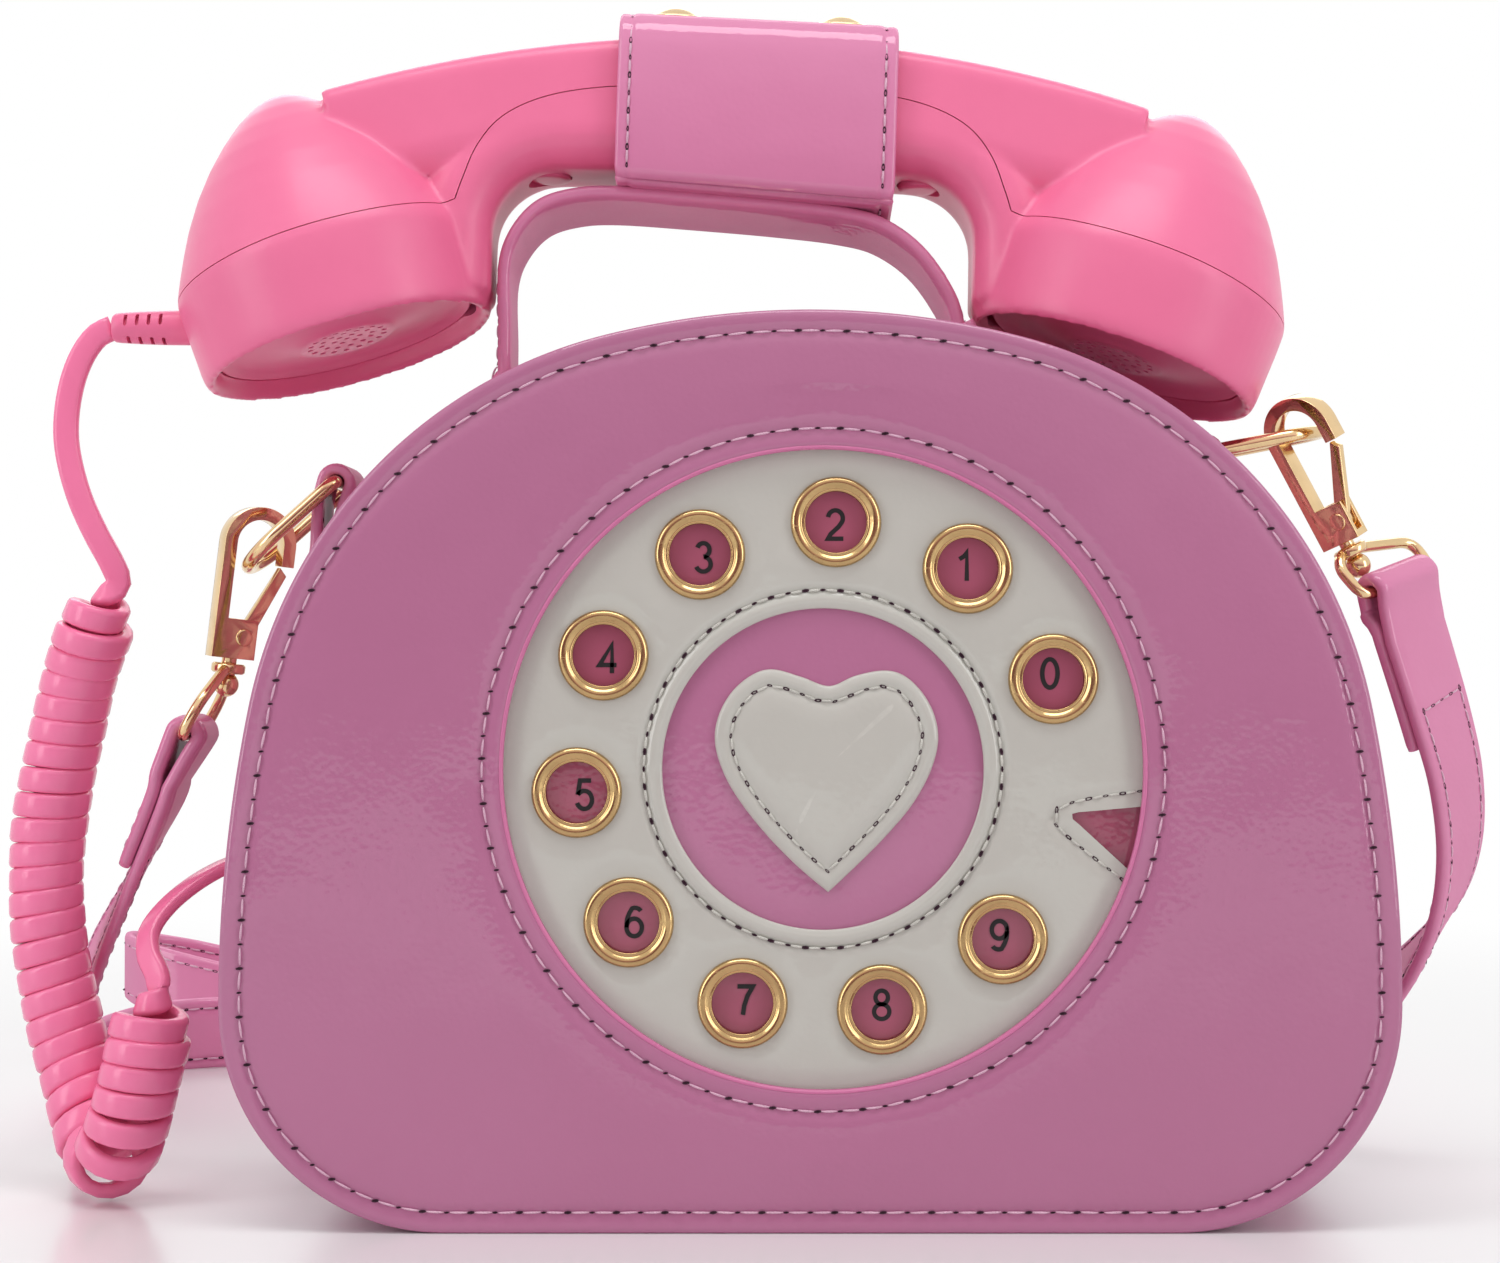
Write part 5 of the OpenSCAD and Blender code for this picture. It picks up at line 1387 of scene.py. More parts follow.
def stripSection(width, thick, seam=None, dip=0.2, puff=0.2, crown=0.0):
    # (across, out) points: rounded painted edges, a dip along each seam, a soft middle
    half, r = width / 2, thick / 2
    points = [(half - r + r * math.cos(math.radians(a)), r * math.sin(math.radians(a))) for a in range(-90, 91, 30)]
    us, u = [], half - r - 0.4
    while u > 0.2:
        us.append(u)
        u -= 0.4 if half - u < (seam or 1) + 1.6 else 1.6
    for u in us + [0.0] + [-v for v in reversed(us)]:
        inward = half - abs(u)
        rise = puff * smoothStep(r, r + 3.2, inward) + crown * (1 - (u / half) ** 2)
        if seam:
            rise -= dip * math.exp(-((inward - seam) / 0.55) ** 2)
        points.append((u, r + rise))
    points += [(-half + r + r * math.cos(math.radians(a)), r * math.sin(math.radians(a))) for a in range(90, 271, 30)]
    points += [(half * k, -r) for k in (-0.6, -0.2, 0.2, 0.6)]
    return points


def bentLine(points, radius, step=1.6, turns=6):
    # straight runs with rounded corners; radius is one value or one for each corner
    line = [points[0]]
    for i in range(1, len(points) - 1):
        reach = radius if not isinstance(radius, (list, tuple)) else radius[i - 1]
        a, p, b = points[i - 1], points[i], points[i + 1]
        reach = min(reach, (a - p).length * 0.49, (b - p).length * 0.49)
        start, end = p + (a - p).normalized() * reach, p + (b - p).normalized() * reach
        line += [start * (1 - t) ** 2 + p * 2 * t * (1 - t) + end * t * t
                 for t in (k / turns for k in range(turns + 1))]
    line.append(points[-1])
    out = [line[0]]
    for p in line[1:]:
        gap = (p - out[-1]).length
        if gap < 1e-6:
            continue
        pieces = max(1, int(gap / step))
        start = out[-1]
        out += [start.lerp(p, k / pieces) for k in range(1, pieces + 1)]
    return out


def stripFrames(line, wides, side=1):
    frames = []
    for at, t, w in zip(line, tangents(line), wides):
        w = (w - t * w.dot(t)).normalized()
        frames.append((at, t, w, t.cross(w) * side))
    return frames


def sweepStrip(name, frames, section, ends=0.9):
    # ends draws the last loops in a little, so that the cut ends are soft
    loops = []
    last = len(frames) - 1
    for i, (at, _, w, n) in enumerate(frames):
        k = ends if i in (0, last) else 1.0
        loops.append([(at + w * u * (1 - (1 - k) * 0.12) + n * v * k) / 1000 for u, v in section])
    return tidyNormals(rings(name, loops))


def walkFrames(frames, start, end, pitch):
    # frames at even steps along a strip
    run = lengths([f[0] for f in frames])
    count = max(1, round((end - start) / pitch))
    out, k = [], 0
    for i in range(count + 1):
        s = start + (end - start) * i / count
        while k < len(run) - 2 and run[k + 1] < s:
            k += 1
        t = min(1, max(0, (s - run[k]) / max(1e-9, run[k + 1] - run[k])))
        out.append(tuple(a.lerp(b, t) for a, b in zip(frames[k], frames[k + 1])))
    return out


def stripSeam(name, frames, across, lift, body, start=3.0, end=None, pitch=4.0, shape=None):
    # a row of stitches along a strip, at a distance across from its middle
    total = lengths([f[0] for f in frames])[-1]
    spots = walkFrames(frames, start, total - 3.0 if end is None else end, pitch)
    line = [at + w * across + n * lift for at, _, w, n in spots]
    if shape:
        line = [shape(p) for p in line]
    outs = [f[3].normalized() for f in spots]
    sewn(name, line, lambda i: outs[min(i, len(outs) - 1)], body, "patent_strap", pitch=pitch, radius=0.26)


def reshape(thing, change):
    # moves every point of a mesh by a rule given in millimetres
    for v in thing.data.vertices:
        v.co = change(v.co * 1000) / 1000
    return thing


# the handle

handleMake = {"y": 2.0, "width": 20.0, "thick": 2.6, "legLeft": -59.6, "legRight": 31.0, "foot": 20.0, "top": 197.0,
              "tilt": 0.16}
leftLeg, rightLeg, handleTop = handleMake["legLeft"], handleMake["legRight"], handleMake["top"]


def footLine(x0, x1, count):
    return [Vector((x0 + (x1 - x0) * i / count, handleMake["y"], archHeight(x0 + (x1 - x0) * i / count, -0.3)))
            for i in range(count + 1)]


def handleLine():
    y = handleMake["y"]
    bend = [(leftLeg - 0.1, archHeight(leftLeg, -0.3) + 3.4), (leftLeg, handleTop - 26), (leftLeg, handleTop - 14.6),
            (leftLeg + 2.2, handleTop - 7.8), (leftLeg + 6.9, handleTop - 2.6), (leftLeg + 13.5, handleTop - 0.35),
            (leftLeg + 22, handleTop + 0.1), (-22, handleTop - 1.0), (-6, handleTop - 2.4), (7, handleTop - 4.0),
            (15.0, handleTop - 6.3), (22.4, handleTop - 11.8), (28.2, handleTop - 20.4),
            (30.4, handleTop - 28), (rightLeg, archHeight(rightLeg, -0.3) + 3.6)]
    left = footLine(leftLeg - handleMake["foot"], leftLeg - 2.4, 6)
    right = footLine(rightLeg + 2.4, rightLeg + handleMake["foot"], 6)
    return left + spline([Vector((x, y, z)) for x, z in bend], 6) + right


handlePath = handleLine()
handleFrames = stripFrames(handlePath, [Vector((0, 1, -handleMake["tilt"]))] * len(handlePath))
handleStrap = sweepStrip("handleStrap", handleFrames,
                         stripSection(handleMake["width"], handleMake["thick"], puff=0.12))
place(handleStrap, "strapLeather", "bag", "patent_strap", "handle_strap")
for side in (-1, 1):
    stripSeam("handleStitches" + "LR"[side > 0], handleFrames, side * 7.6, 1.36, "bag", pitch=4.2)

domeProfile = [(2.75, -0.9), (2.8, -0.1), (2.72, 0.25), (2.35, 0.7), (1.6, 1.0), (0.8, 1.12), (0, 1.15)]
rivets = []
for x in (leftLeg - 15, leftLeg - 7, rightLeg + 8, rightLeg + 16):
    slope = archHeight(x + 0.5, -1.6) - archHeight(x - 0.5, -1.6)
    for side in (-1, 1):
        rivets.append(lathe("rivet", [(0, -0.9)] + domeProfile,
                            Matrix.Translation(mm(x, handleMake["y"] + side * 5, archHeight(x, -1.7)))
                            @ Matrix.Rotation(-math.atan(slope), 4, "Y"), 28))
place(joined("handleRivets", rivets), "gold", "bag", "gold_hardware", "handle_rivets")
report("handle")


# the wrap band: sling fixed to the handle, flap over it, two snaps

bandMake = {"x": -9.9, "width": 54.6, "thick": 1.7, "frontY": -14.15, "backY": 17.9, "low": 199.5, "slingTop": 229.5,
            "flapTop": 231.9, "flapEnd": 10.4, "snapPitch": 33.0, "snapY": 1.5, "seam": 2.4}


def bandShape(p):
    # the band leans with the handset: its lower edge falls to the right more than its upper edge
    across = p.x - (bandMake["x"] - bandMake["width"] / 2)
    k = min(1, max(0, (p.z - 199.0) / 33.0))
    low = 1.2 - 0.086 * across
    high = 0.9 - 0.05 * across
    lean = 1.1 * k - 0.5
    sag = handleMake["tilt"] * max(0, p.y + 8) * (1 - k)
    return Vector((p.x + lean, p.y, p.z + low * (1 - k) + high * k - sag))


def bandPart(name, corners, radii, side, section):
    line = bentLine([Vector((bandMake["x"], y, z)) for y, z in corners], radii)
    frames = stripFrames(line, [Vector((1, 0, 0))] * len(line), side)
    return reshape(sweepStrip(name, frames, section), bandShape), frames


bandSection = stripSection(bandMake["width"], bandMake["thick"], seam=bandMake["seam"], dip=0.26, puff=0.22)
low, slingTop, flapTop = bandMake["low"], bandMake["slingTop"], bandMake["flapTop"]
slingLeather, slingFrames = bandPart(
    "bandSling", [(-11.9, low), (bandMake["backY"], low), (bandMake["backY"], slingTop), (-3.4, slingTop)], 4.2, 1,
    bandSection)
place(slingLeather, "strapLeather", "bag", "patent_strap", "band_sling")
flapLeather, flapFrames = bandPart(
    "bandFlap", [(bandMake["frontY"] + 0.7, low - 0.2), (bandMake["frontY"] - 0.1, low + 8),
                 (bandMake["frontY"] + 0.1, low + 19), (bandMake["frontY"] + 1.6, flapTop - 0.1),
                 (bandMake["flapEnd"], flapTop)], [7, 8, 8.5], -1,
    bandSection)
place(flapLeather, "strapLeather", "band_flap", "patent_strap", "band_flap")
for side in (-1, 1):
    across = side * (bandMake["width"] / 2 - bandMake["seam"])
    stripSeam("flapStitches" + "LR"[side > 0], flapFrames, across, 0.84, "band_flap", pitch=3.6,
              shape=bandShape, start=2.4)
    stripSeam("slingStitches" + "LR"[side > 0], slingFrames, across, 0.84, "bag", pitch=3.6,
              shape=bandShape, start=6)

snapCap = [(0, -0.9), (1.7, -0.9), (1.7, -0.1), (6.6, -0.1), (6.95, 0.12), (7.0, 0.5), (6.8, 0.8), (6.3, 0.95),
           (5.9, 0.9), (5.5, 1.25), (4.2, 2.3), (2.4, 3.0), (0, 3.2)]
studShape = [(0, -0.2), (3.6, -0.2), (3.7, 0.1), (3.5, 0.28), (2.3, 0.34), (2.1, 0.5), (2.1, 0.9), (1.6, 1.1),
             (0, 1.12)]
caps, studs = [], []
for side in (-1, 1):
    x = bandMake["x"] + side * bandMake["snapPitch"] / 2
    top = bandShape(Vector((x, bandMake["snapY"], flapTop + 0.95)))
    caps.append(lathe("snapCap", snapCap, Matrix.Translation(top / 1000) @ Matrix.Rotation(0.05, 4, "Y"), 48))
    under = bandShape(Vector((x, bandMake["snapY"], slingTop + 0.9)))
    studs.append(lathe("stud", studShape, Matrix.Translation(under / 1000) @ Matrix.Rotation(0.05, 4, "Y"), 32))
place(joined("snapCaps", caps), "gold", "band_flap", "gold_hardware", "flap_snap_caps")
place(joined("snapStuds", studs), "gold", "bag", "gold_hardware", "band_studs")
report("band")


# side tabs and D-rings

tabMake = {"y": 6.0, "width": 17.0, "thick": 2.2, "length": 45.0, "lean": 6.5, "wire": 1.4, "lug": 1.58,
           "ringWidth": 18.0, "ringLength": 25.0, "rightTurn": 47.0, "lip": 1.2, "leftRing": 138.0,
           "rightRing": -11.0}


def unit(degrees):
    return Vector((math.cos(math.radians(degrees)), math.sin(math.radians(degrees))))


def shoulderPoint(degrees, inset):
    return shoulderAt + (bagShape["shoulder"] - inset) * unit(degrees)


foldRadius = tabMake["lug"] + tabMake["thick"]
loopRadius = tabMake["lug"] + tabMake["thick"] / 2 + 0.05
lean = sideTurn + math.radians(tabMake["lean"])
leftFoot = Vector((-shoulderPoint(math.degrees(sideTurn), tabMake["lip"] - 0.75).x,
                   shoulderPoint(math.degrees(sideTurn), tabMake["lip"]).y))
leftWay, leftOut = Vector((math.sin(lean), math.cos(lean))), Vector((-math.cos(lean), math.sin(lean)))
leftBar = leftFoot + leftWay * tabMake["length"] + leftOut * foldRadius
rightBar = shoulderPoint(tabMake["rightTurn"], tabMake["lip"] - foldRadius)


def tabLine(points):
    return [Vector((p.x, tabMake["y"], p.y)) for p in points]


def loopRound(bar, way, out, count=12):
    # from the inner face, over the bar, to the outer face
    return [bar + (-out * math.cos(a) + way * math.sin(a)) * loopRadius
            for a in (math.pi * k / count for k in range(count + 1))]


half = tabMake["thick"] / 2
inner = [leftFoot + leftOut * (half + 0.05) + leftWay * s for s in (-3.6, 6, 16, 26, 35)]
inner.append(leftBar - leftOut * loopRadius - leftWay * 3)
outer = [leftBar + leftOut * loopRadius - leftWay * 3, leftBar + leftOut * 1.2 - leftWay * 9,
         leftBar - leftOut * 0.3 - leftWay * 15, leftBar - leftOut * 0.35 - leftWay * 22,
         leftBar - leftOut * 0.35 - leftWay * 28]
leftTabPath = tabLine(spline(inner, 4)[:-1] + loopRound(leftBar, leftWay, leftOut) + spline(outer, 5)[1:])
arcRadius = bagShape["shoulder"] - tabMake["lip"] + half + 0.05
rightOut = unit(tabMake["rightTurn"])
rightWay = Vector((-rightOut.y, rightOut.x))
inner = [shoulderAt + arcRadius * unit(d) for d in (20, 24, 28, 32, 36, 40, 43, 45.5)]
outer = [shoulderAt + (arcRadius + rise) * unit(d)
         for d, rise in ((44.8, 5.0), (42.2, 3.6), (39.4, 2.45), (36, 2.25), (31, 2.25), (26.5, 2.25))]
rightTabPath = tabLine(spline(inner, 4)[:-1] + loopRound(rightBar, rightWay, rightOut) + spline(outer, 5))
tabs = []
for name, path, side in (("Left", leftTabPath, -1), ("Right", rightTabPath, 1)):
    frames = stripFrames(path, [Vector((0, 1, 0))] * len(path), 1)
    tabs.append(sweepStrip("tab" + name, frames, stripSection(tabMake["width"], tabMake["thick"], puff=0.1)))
    total = lengths(path)[-1]
    for s in (-1, 1):
        stripSeam("tabStitches" + name + "LR"[s > 0], frames, s * 6.2, 1.16, "bag", start=total - 20,
                  end=total - 2.6, pitch=3.6)
place(joined("sideTabs", tabs), "strapLeather", "bag", "patent_strap", "side_tabs")


def wireLoop(name, points, radius, normal, sides=14, closed=True):
    # round wire along a flat line of points
    loops = []
    for at, t in zip(points, tangents(points, closed)):
        across = t.cross(normal).normalized()
        loops.append([(at + (normal * math.cos(a) + across * math.sin(a)) * radius) / 1000
                      for a in (2 * math.pi * k / sides for k in range(sides))])
    return tidyNormals(rings(name, loops, wrap=closed))


def dRing(name, degrees, bar):
    wire, half = tabMake["wire"], tabMake["ringWidth"] / 2 + tabMake["wire"]
    straight = tabMake["ringLength"] - half
    shape = bentLine([Vector(p) for p in ((0, 0, 0), (0, half, 0), (straight, half, 0))], 2.2, 1.2)[:-1]
    shape += [Vector((straight + half * math.cos(a), half * math.sin(a), 0))
              for a in (math.pi / 2 - math.pi * k / 28 for k in range(29))]
    shape += bentLine([Vector(p) for p in ((straight, -half, 0), (0, -half, 0), (0, 0, 0))], 2.2, 1.2)[1:-1]
    turn = Matrix.Rotation(math.radians(degrees), 3, "Y")
    at = Vector((bar.x, tabMake["y"], bar.y))
    return wireLoop(name, [at + turn @ p for p in shape], wire, turn @ Vector((0, 0, 1)))


place(dRing("leftDRing", tabMake["leftRing"], leftBar), "gold", "left_d_ring", "gold_hardware", "left_d_ring")
place(dRing("rightDRing", tabMake["rightRing"], rightBar), "gold", "right_d_ring", "gold_hardware", "right_d_ring")


def softened(name, node, which, body, width=0.45, slot="gold_hardware"):
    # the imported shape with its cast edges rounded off
    made = copyOf(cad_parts[node], name)
    made.parent = None
    for key in list(made.keys()):
        del made[key]
    bm = bmesh.new()
    bm.from_mesh(made.data)
    bmesh.ops.remove_doubles(bm, verts=bm.verts, dist=1e-6)
    bmesh.ops.dissolve_limit(bm, angle_limit=math.radians(2), verts=bm.verts, edges=bm.edges)
    bm.to_mesh(made.data)
    bm.free()
    modifier(made, "BEVEL", width=width / 1000, segments=3, limit_method="ANGLE", angle_limit=math.radians(35),
             harden_normals=False)
    applyAll(made)
    place(smoothByAngle(made, 32), which, body, slot, node)


for side in ("left", "right"):
    softened(side + "HookCast", side + "_hook", "gold", side + "_hook")
    softened(side + "GateCast", side + "_hook_gate", "gold", side + "_hook_gate", width=0.25)
report("tabs, rings and hooks")


# the shoulder strap, folded round a ring at each end

strapMake = {"width": 18.0, "thick": 2.6, "seam": 2.6, "layer": 2.75, "leftFlap": 28.0, "rightFlap": 33.0,
             "wrap": 2.65, "boxSeam": 21.0}
leftHook = Vector((leftBar.x - 22.6, 6, leftBar.y - 35))
rightHook = Vector((rightBar.x + 28.4, 0.5, rightBar.y - 17.6))
leftHanger = leftHook + Vector((-7.6, 0, -15.4))
rightHanger = rightHook + Vector((10.4, 0, -8.2))
leftHangerWay = Vector((0, 1, 0))
rightHangerWay = Vector((0.77, 0.6, 0.26)).normalized()
strapRoute = [
    (leftHanger + Vector((-2.6, 0, -4.6)), leftHangerWay), ((-128, 7, 78), (0, 1, 0)),
    ((-137, 12, 61), (-0.1, 0.97, 0.2)), ((-147, 21, 43), (-0.15, 0.85, 0.5)), ((-154, 38, 27), (-0.1, 0.6, 0.8)),
    ((-160, 64, 15), (0, 0.25, 0.97)), ((-166, 95, 10), (0, 0, 1)), ((-168, 128, 9.2), (0, 0, 1)),
    ((-158, 154, 9.2), (0, 0, 1)), ((-130, 164, 9.2), (0, 0, 1)), ((-95, 164, 9.2), (0, 0, 1)),
    ((-74, 168, 9.2), (0, 0, 1)), ((-66, 178, 9.2), (0, 0, 1)), ((-76, 188, 9.2), (0, 0, 1)),
    ((-105, 190, 9.2), (0, 0, 1)), ((-140, 191, 12), (0, 0, 1)), ((-170, 196, 18), (0, 0, 1)),
    ((-181, 208, 21), (0, 0, 1)), ((-170, 220, 18), (0, 0, 1)), ((-140, 226, 12), (0, 0, 1)),
    ((-80, 228, 9.2), (0, 0, 1)), ((0, 229, 9.2), (0, 0, 1)), ((72, 222, 9.2), (0, 0, 1)),
    ((114, 200, 9.2), (0, 0, 1)), ((128, 165, 9.2), (0, 0, 1)), ((122, 125, 9.2), (0, 0, 1)),
    ((108, 92, 10), (0, 0.1, 0.99)), ((101, 68, 14), (0, 0.27, 0.96)), ((109.5, 52, 21), (0.1, 0.5, 0.86)),
    ((118, 36, 30.5), (0.2, 0.65, 0.73)), ((126, 24.5, 42), (0.3, 0.8, 0.5)), ((131, 15, 54), (0.5, 0.8, 0.32)),
    ((133, 10, 67), (0.62, 0.76, 0.15)), ((131.5, 6, 81), (0.7, 0.7, 0.1)), ((127.5, 3, 95), (0.75, 0.64, 0.16)),
    (rightHanger + Vector((1.6, -1.6, -4.6)), rightHangerWay)]
strapSpots = spline([Vector(p) for p, w in strapRoute], 7)
strapWides = spline([Vector(w).normalized() for p, w in strapRoute], 7)
strapFrames = stripFrames(strapSpots, strapWides)


def strapEnd(frames, hanger, hangerWay, outSide, flap):
    # from the flap's end up the outside, over the wire and into the strap; frames start at this end
    wrap, layer = strapMake["wrap"], strapMake["layer"]
    down = frames[6][0] - hanger
    down = (down - hangerWay * down.dot(hangerWay)).normalized()
    out = frames[0][3] * outSide
    out = (out - hangerWay * out.dot(hangerWay) - down * out.dot(down)).normalized()
    run = lengths([f[0] for f in frames])
    flapPart = []
    for s in (flap, flap - 5, flap - 10, flap * 0.45, 10.0, 7.5):
        at, _, w, n = walkFrames(frames, 0, s - 5, s - 5)[-1]
        flapPart.append((at + n * outSide * layer, w))
    loop = [(hanger + down * 4.4 + out * 2.9, hangerWay)]
    loop += [(hanger + (out * math.cos(a) - down * math.sin(a)) * wrap, hangerWay)
             for a in (math.pi * k / 8 for k in range(9))]
    loop += [(hanger + down * 3.6 - out * 1.7, hangerWay)]
    skip = next(i for i, s in enumerate(run) if s > 5.0)
    line = flapPart + loop + [(frames[skip][0], frames[skip][2])]
    return spline([p for p, w in line], 3), spline([w for p, w in line], 3), skip


backwards = [(at, -t, w, n) for at, t, w, n in reversed(strapFrames)]
leftLine, leftWides, leftSkip = strapEnd(strapFrames, leftHanger, leftHangerWay, -1, strapMake["leftFlap"])
rightLine, rightWides, rightSkip = strapEnd(backwards, rightHanger, rightHangerWay, 1, strapMake["rightFlap"])
wholeLine = leftLine + strapSpots[leftSkip + 1:len(strapSpots) - rightSkip - 1] + rightLine[::-1]
wholeWides = leftWides + strapWides[leftSkip + 1:len(strapSpots) - rightSkip - 1] + rightWides[::-1]
wholeFrames = stripFrames(wholeLine, wholeWides)
strapLeather = sweepStrip("shoulderStrap", wholeFrames,
                          stripSection(strapMake["width"], strapMake["thick"], seam=strapMake["seam"], dip=0.18,
                                       puff=0.15))
place(strapLeather, "strapLeather", "bag", "patent_strap", "shoulder_strap", "strap_folds")
strapTotal = lengths(wholeLine)[-1]
print("bag: strap cut %.0f mm, %.0f mm between the rings" % (strapTotal, lengths(strapSpots)[-1]))
backSide = [(at, t, w, -n) for at, t, w, n in wholeFrames]
leftBox = lengths(leftLine)[-1] + strapMake["boxSeam"] - 6
rightBox = strapTotal - lengths(rightLine)[-1] - strapMake["boxSeam"] + 6


def outerSide(frames, hanger):
    # the face turned away from the ring where the strap bends over it
    at, _, _, n = min(frames, key=lambda f: (f[0] - hanger).length)
    return 1 if (at - hanger).dot(n) > 0 else -1


leftSide = outerSide(wholeFrames[:60], leftHanger)
rightSide = outerSide(wholeFrames[-60:], rightHanger)
for side in (-1, 1):
    across = side * (strapMake["width"] / 2 - strapMake["seam"])
    label = "LR"[side > 0]
    for face, frames in (("Out", wholeFrames), ("In", backSide)):
        stripSeam("strapSeam" + face + label, frames, across, 1.32, "bag", start=leftBox, end=rightBox,
                  pitch=4.0)
    # the flap ends are sewn down on their outer faces
    stripSeam("leftFlapSeam" + label, wholeFrames if leftSide > 0 else backSide, across, 1.34, "bag",
              start=2.2, end=13, pitch=3.4)
    stripSeam("rightFlapSeam" + label, wholeFrames if rightSide > 0 else backSide, across, 1.34, "bag",
              start=strapTotal - 13, end=strapTotal - 2.2, pitch=3.4)
for name, s, face in (("leftFlapEnd", 2.2, leftSide), ("rightFlapEnd", strapTotal - 2.2, rightSide),
                      ("rightFlapTop", strapTotal - 13, rightSide), ("leftBoxSeam", leftBox, leftSide),
                      ("rightBoxSeam", rightBox, rightSide)):
    at, t, w, n = walkFrames(wholeFrames, s, s + 0.2, 0.2)[0]
    n = n.normalized() * face
    sewn(name, [at + w * u + n * 1.34 for u in (-6.4, -3.2, 0, 3.2, 6.4)], n, "bag", "patent_strap", pitch=3.2)
report("shoulder strap")


# wire rings between the hooks and the strap

strapRing = {"wire": 1.15, "half": 11.0, "collarRadius": 3.4, "collarBore": 1.58, "collarLow": -3.1, "collarHigh": -1.1}


def hangRing(foot, lean, hanger, hangerWay):
    # collar turning on the hook's post, and a rounded loop whose straight side holds the strap
    toPost = Matrix.Translation(foot / 1000) @ Matrix.Rotation(math.radians(lean), 4, "Y")
    bore, rim, low, high = (strapRing[k] for k in ("collarBore", "collarRadius", "collarLow", "collarHigh"))
    collar = lathe("collar", [(bore, low + 0.3), (bore + 0.3, low), (rim - 0.35, low), (rim, low + 0.35),
                              (rim, high - 0.35), (rim - 0.35, high), (bore + 0.3, high), (bore, high - 0.3),
                              (bore, low + 0.3)], toPost, 36)
    centre = toPost @ mm(0, 0, (low + high) / 2) * 1000
    up = centre - hanger
    up = (up - hangerWay * up.dot(hangerWay)).normalized()
    neck = strapRing["collarRadius"] - 0.3
    half = hangerWay * strapRing["half"]
    shape = [hanger, hanger + half, hanger + half * 1.05 + up * 7.2, centre + hangerWay * neck,
             centre - hangerWay * neck, hanger - half * 1.05 + up * 7.2, hanger - half, hanger]
    line = bentLine(shape, [3.2, 4.5, 2.4, 2.4, 4.5, 3.2], 1.0)[:-1]
    loop = wireLoop("loop", line, strapRing["wire"], hangerWay.cross(up).normalized())
    return [collar, loop]


hangers = hangRing(leftHook, 7, leftHanger, leftHangerWay) + hangRing(rightHook, -28, rightHanger, rightHangerWay)
place(joined("strapRings", hangers), "gold", "bag", "gold_hardware", "strap_rings")

pinMake = {"across": 1.8, "up": 4.4, "radius": 0.8, "head": 1.75, "half": 2.0, "leftTurn": 30, "rightTurn": -45}


def hookPin(name, foot, lean, turn):
    # rivet through the hook's block, its flat heads rolled over at both faces
    head, half = pinMake["head"], pinMake["half"]
    side = [(0, half + 0.34), (head - 0.5, half + 0.34), (head - 0.12, half + 0.24), (head, half + 0.08),
            (head, half - 0.1), (pinMake["radius"], half - 0.1)]
    profile = side + [(r, -h) for r, h in reversed(side)]
    toHook = (Matrix.Translation(foot / 1000) @ Matrix.Rotation(math.radians(lean), 4, "Y")
              @ Matrix.Rotation(math.radians(turn), 4, "Z")
              @ Matrix.Translation(mm(pinMake["across"], 0, pinMake["up"])) @ Matrix.Rotation(math.pi / 2, 4, "X"))
    return lathe(name, profile, toHook, 32)


place(hookPin("leftHookPin", leftHook, 7, pinMake["leftTurn"]), "gold", "left_hook", "gold_hardware", "left_hook_pin")
place(hookPin("rightHookPin", rightHook, -28, pinMake["rightTurn"]), "gold", "right_hook", "gold_hardware",
      "right_hook_pin")
report("strap rings and hook pins")


# gussets, zip and base

gussetMake = {"lip": 1.2, "inner": 3.2, "zipY": -17.0, "zipHalf": 4.0, "bottom": 29.6, "puff": 0.55, "back": 37.6,
              "front": -37.4, "teethPitch": 1.7}
rimNow, rimIn = bagOutline(0, 1.6), bagOutline(1, 1.6)
rimOut = [a - b for a, b in zip(rimNow, rimIn)]


def rimPoint(i, inset, y):
    p = rimNow[i] - rimOut[i] * inset
    return mm(p.x, y, p.y)


def hoopPart(name, section, stations, closed):
    # section is a closed list of (y, inset, soft); soft scales the leather's own unevenness added to the inset
    loops = []
    for i in stations:
        at = rimNow[i]
        loops.append([rimPoint(i, inset + surfaceWander(at.x + at.y, y * 1.5, 77.0) * soft, y)
                      for y, inset, soft in section])
    return rings(name, loops, wrap=closed, capEnds=not closed)


def gussetSection(y0, y1, seams):
    # outer skin with a soft rise and sewn edges, then the flat inside
    low, lip, puff = gussetMake["inner"], gussetMake["lip"], gussetMake["puff"]
    points = [(y0, low - 0.3, 0), (y0, lip + 0.5, 0), (y0 + 0.25, lip + 0.12, 0)]
    count = max(6, int((y1 - y0) / 0.9))
    for k in range(1, count):
        y = y0 + (y1 - y0) * k / count
        edge = min(y - y0, y1 - y)
        rise = puff * smoothStep(0, 9, edge) - sum(seamDip(y - s, 0.8, 0.3) for s in seams)
        points.append((y, lip - rise, smoothStep(0, 5, edge)))
    return points + [(y1 - 0.25, lip + 0.12, 0), (y1, lip + 0.5, 0), (y1, low - 0.3, 0), (y1 - 0.3, low, 0),
                     (y0 + 0.3, low, 0)]


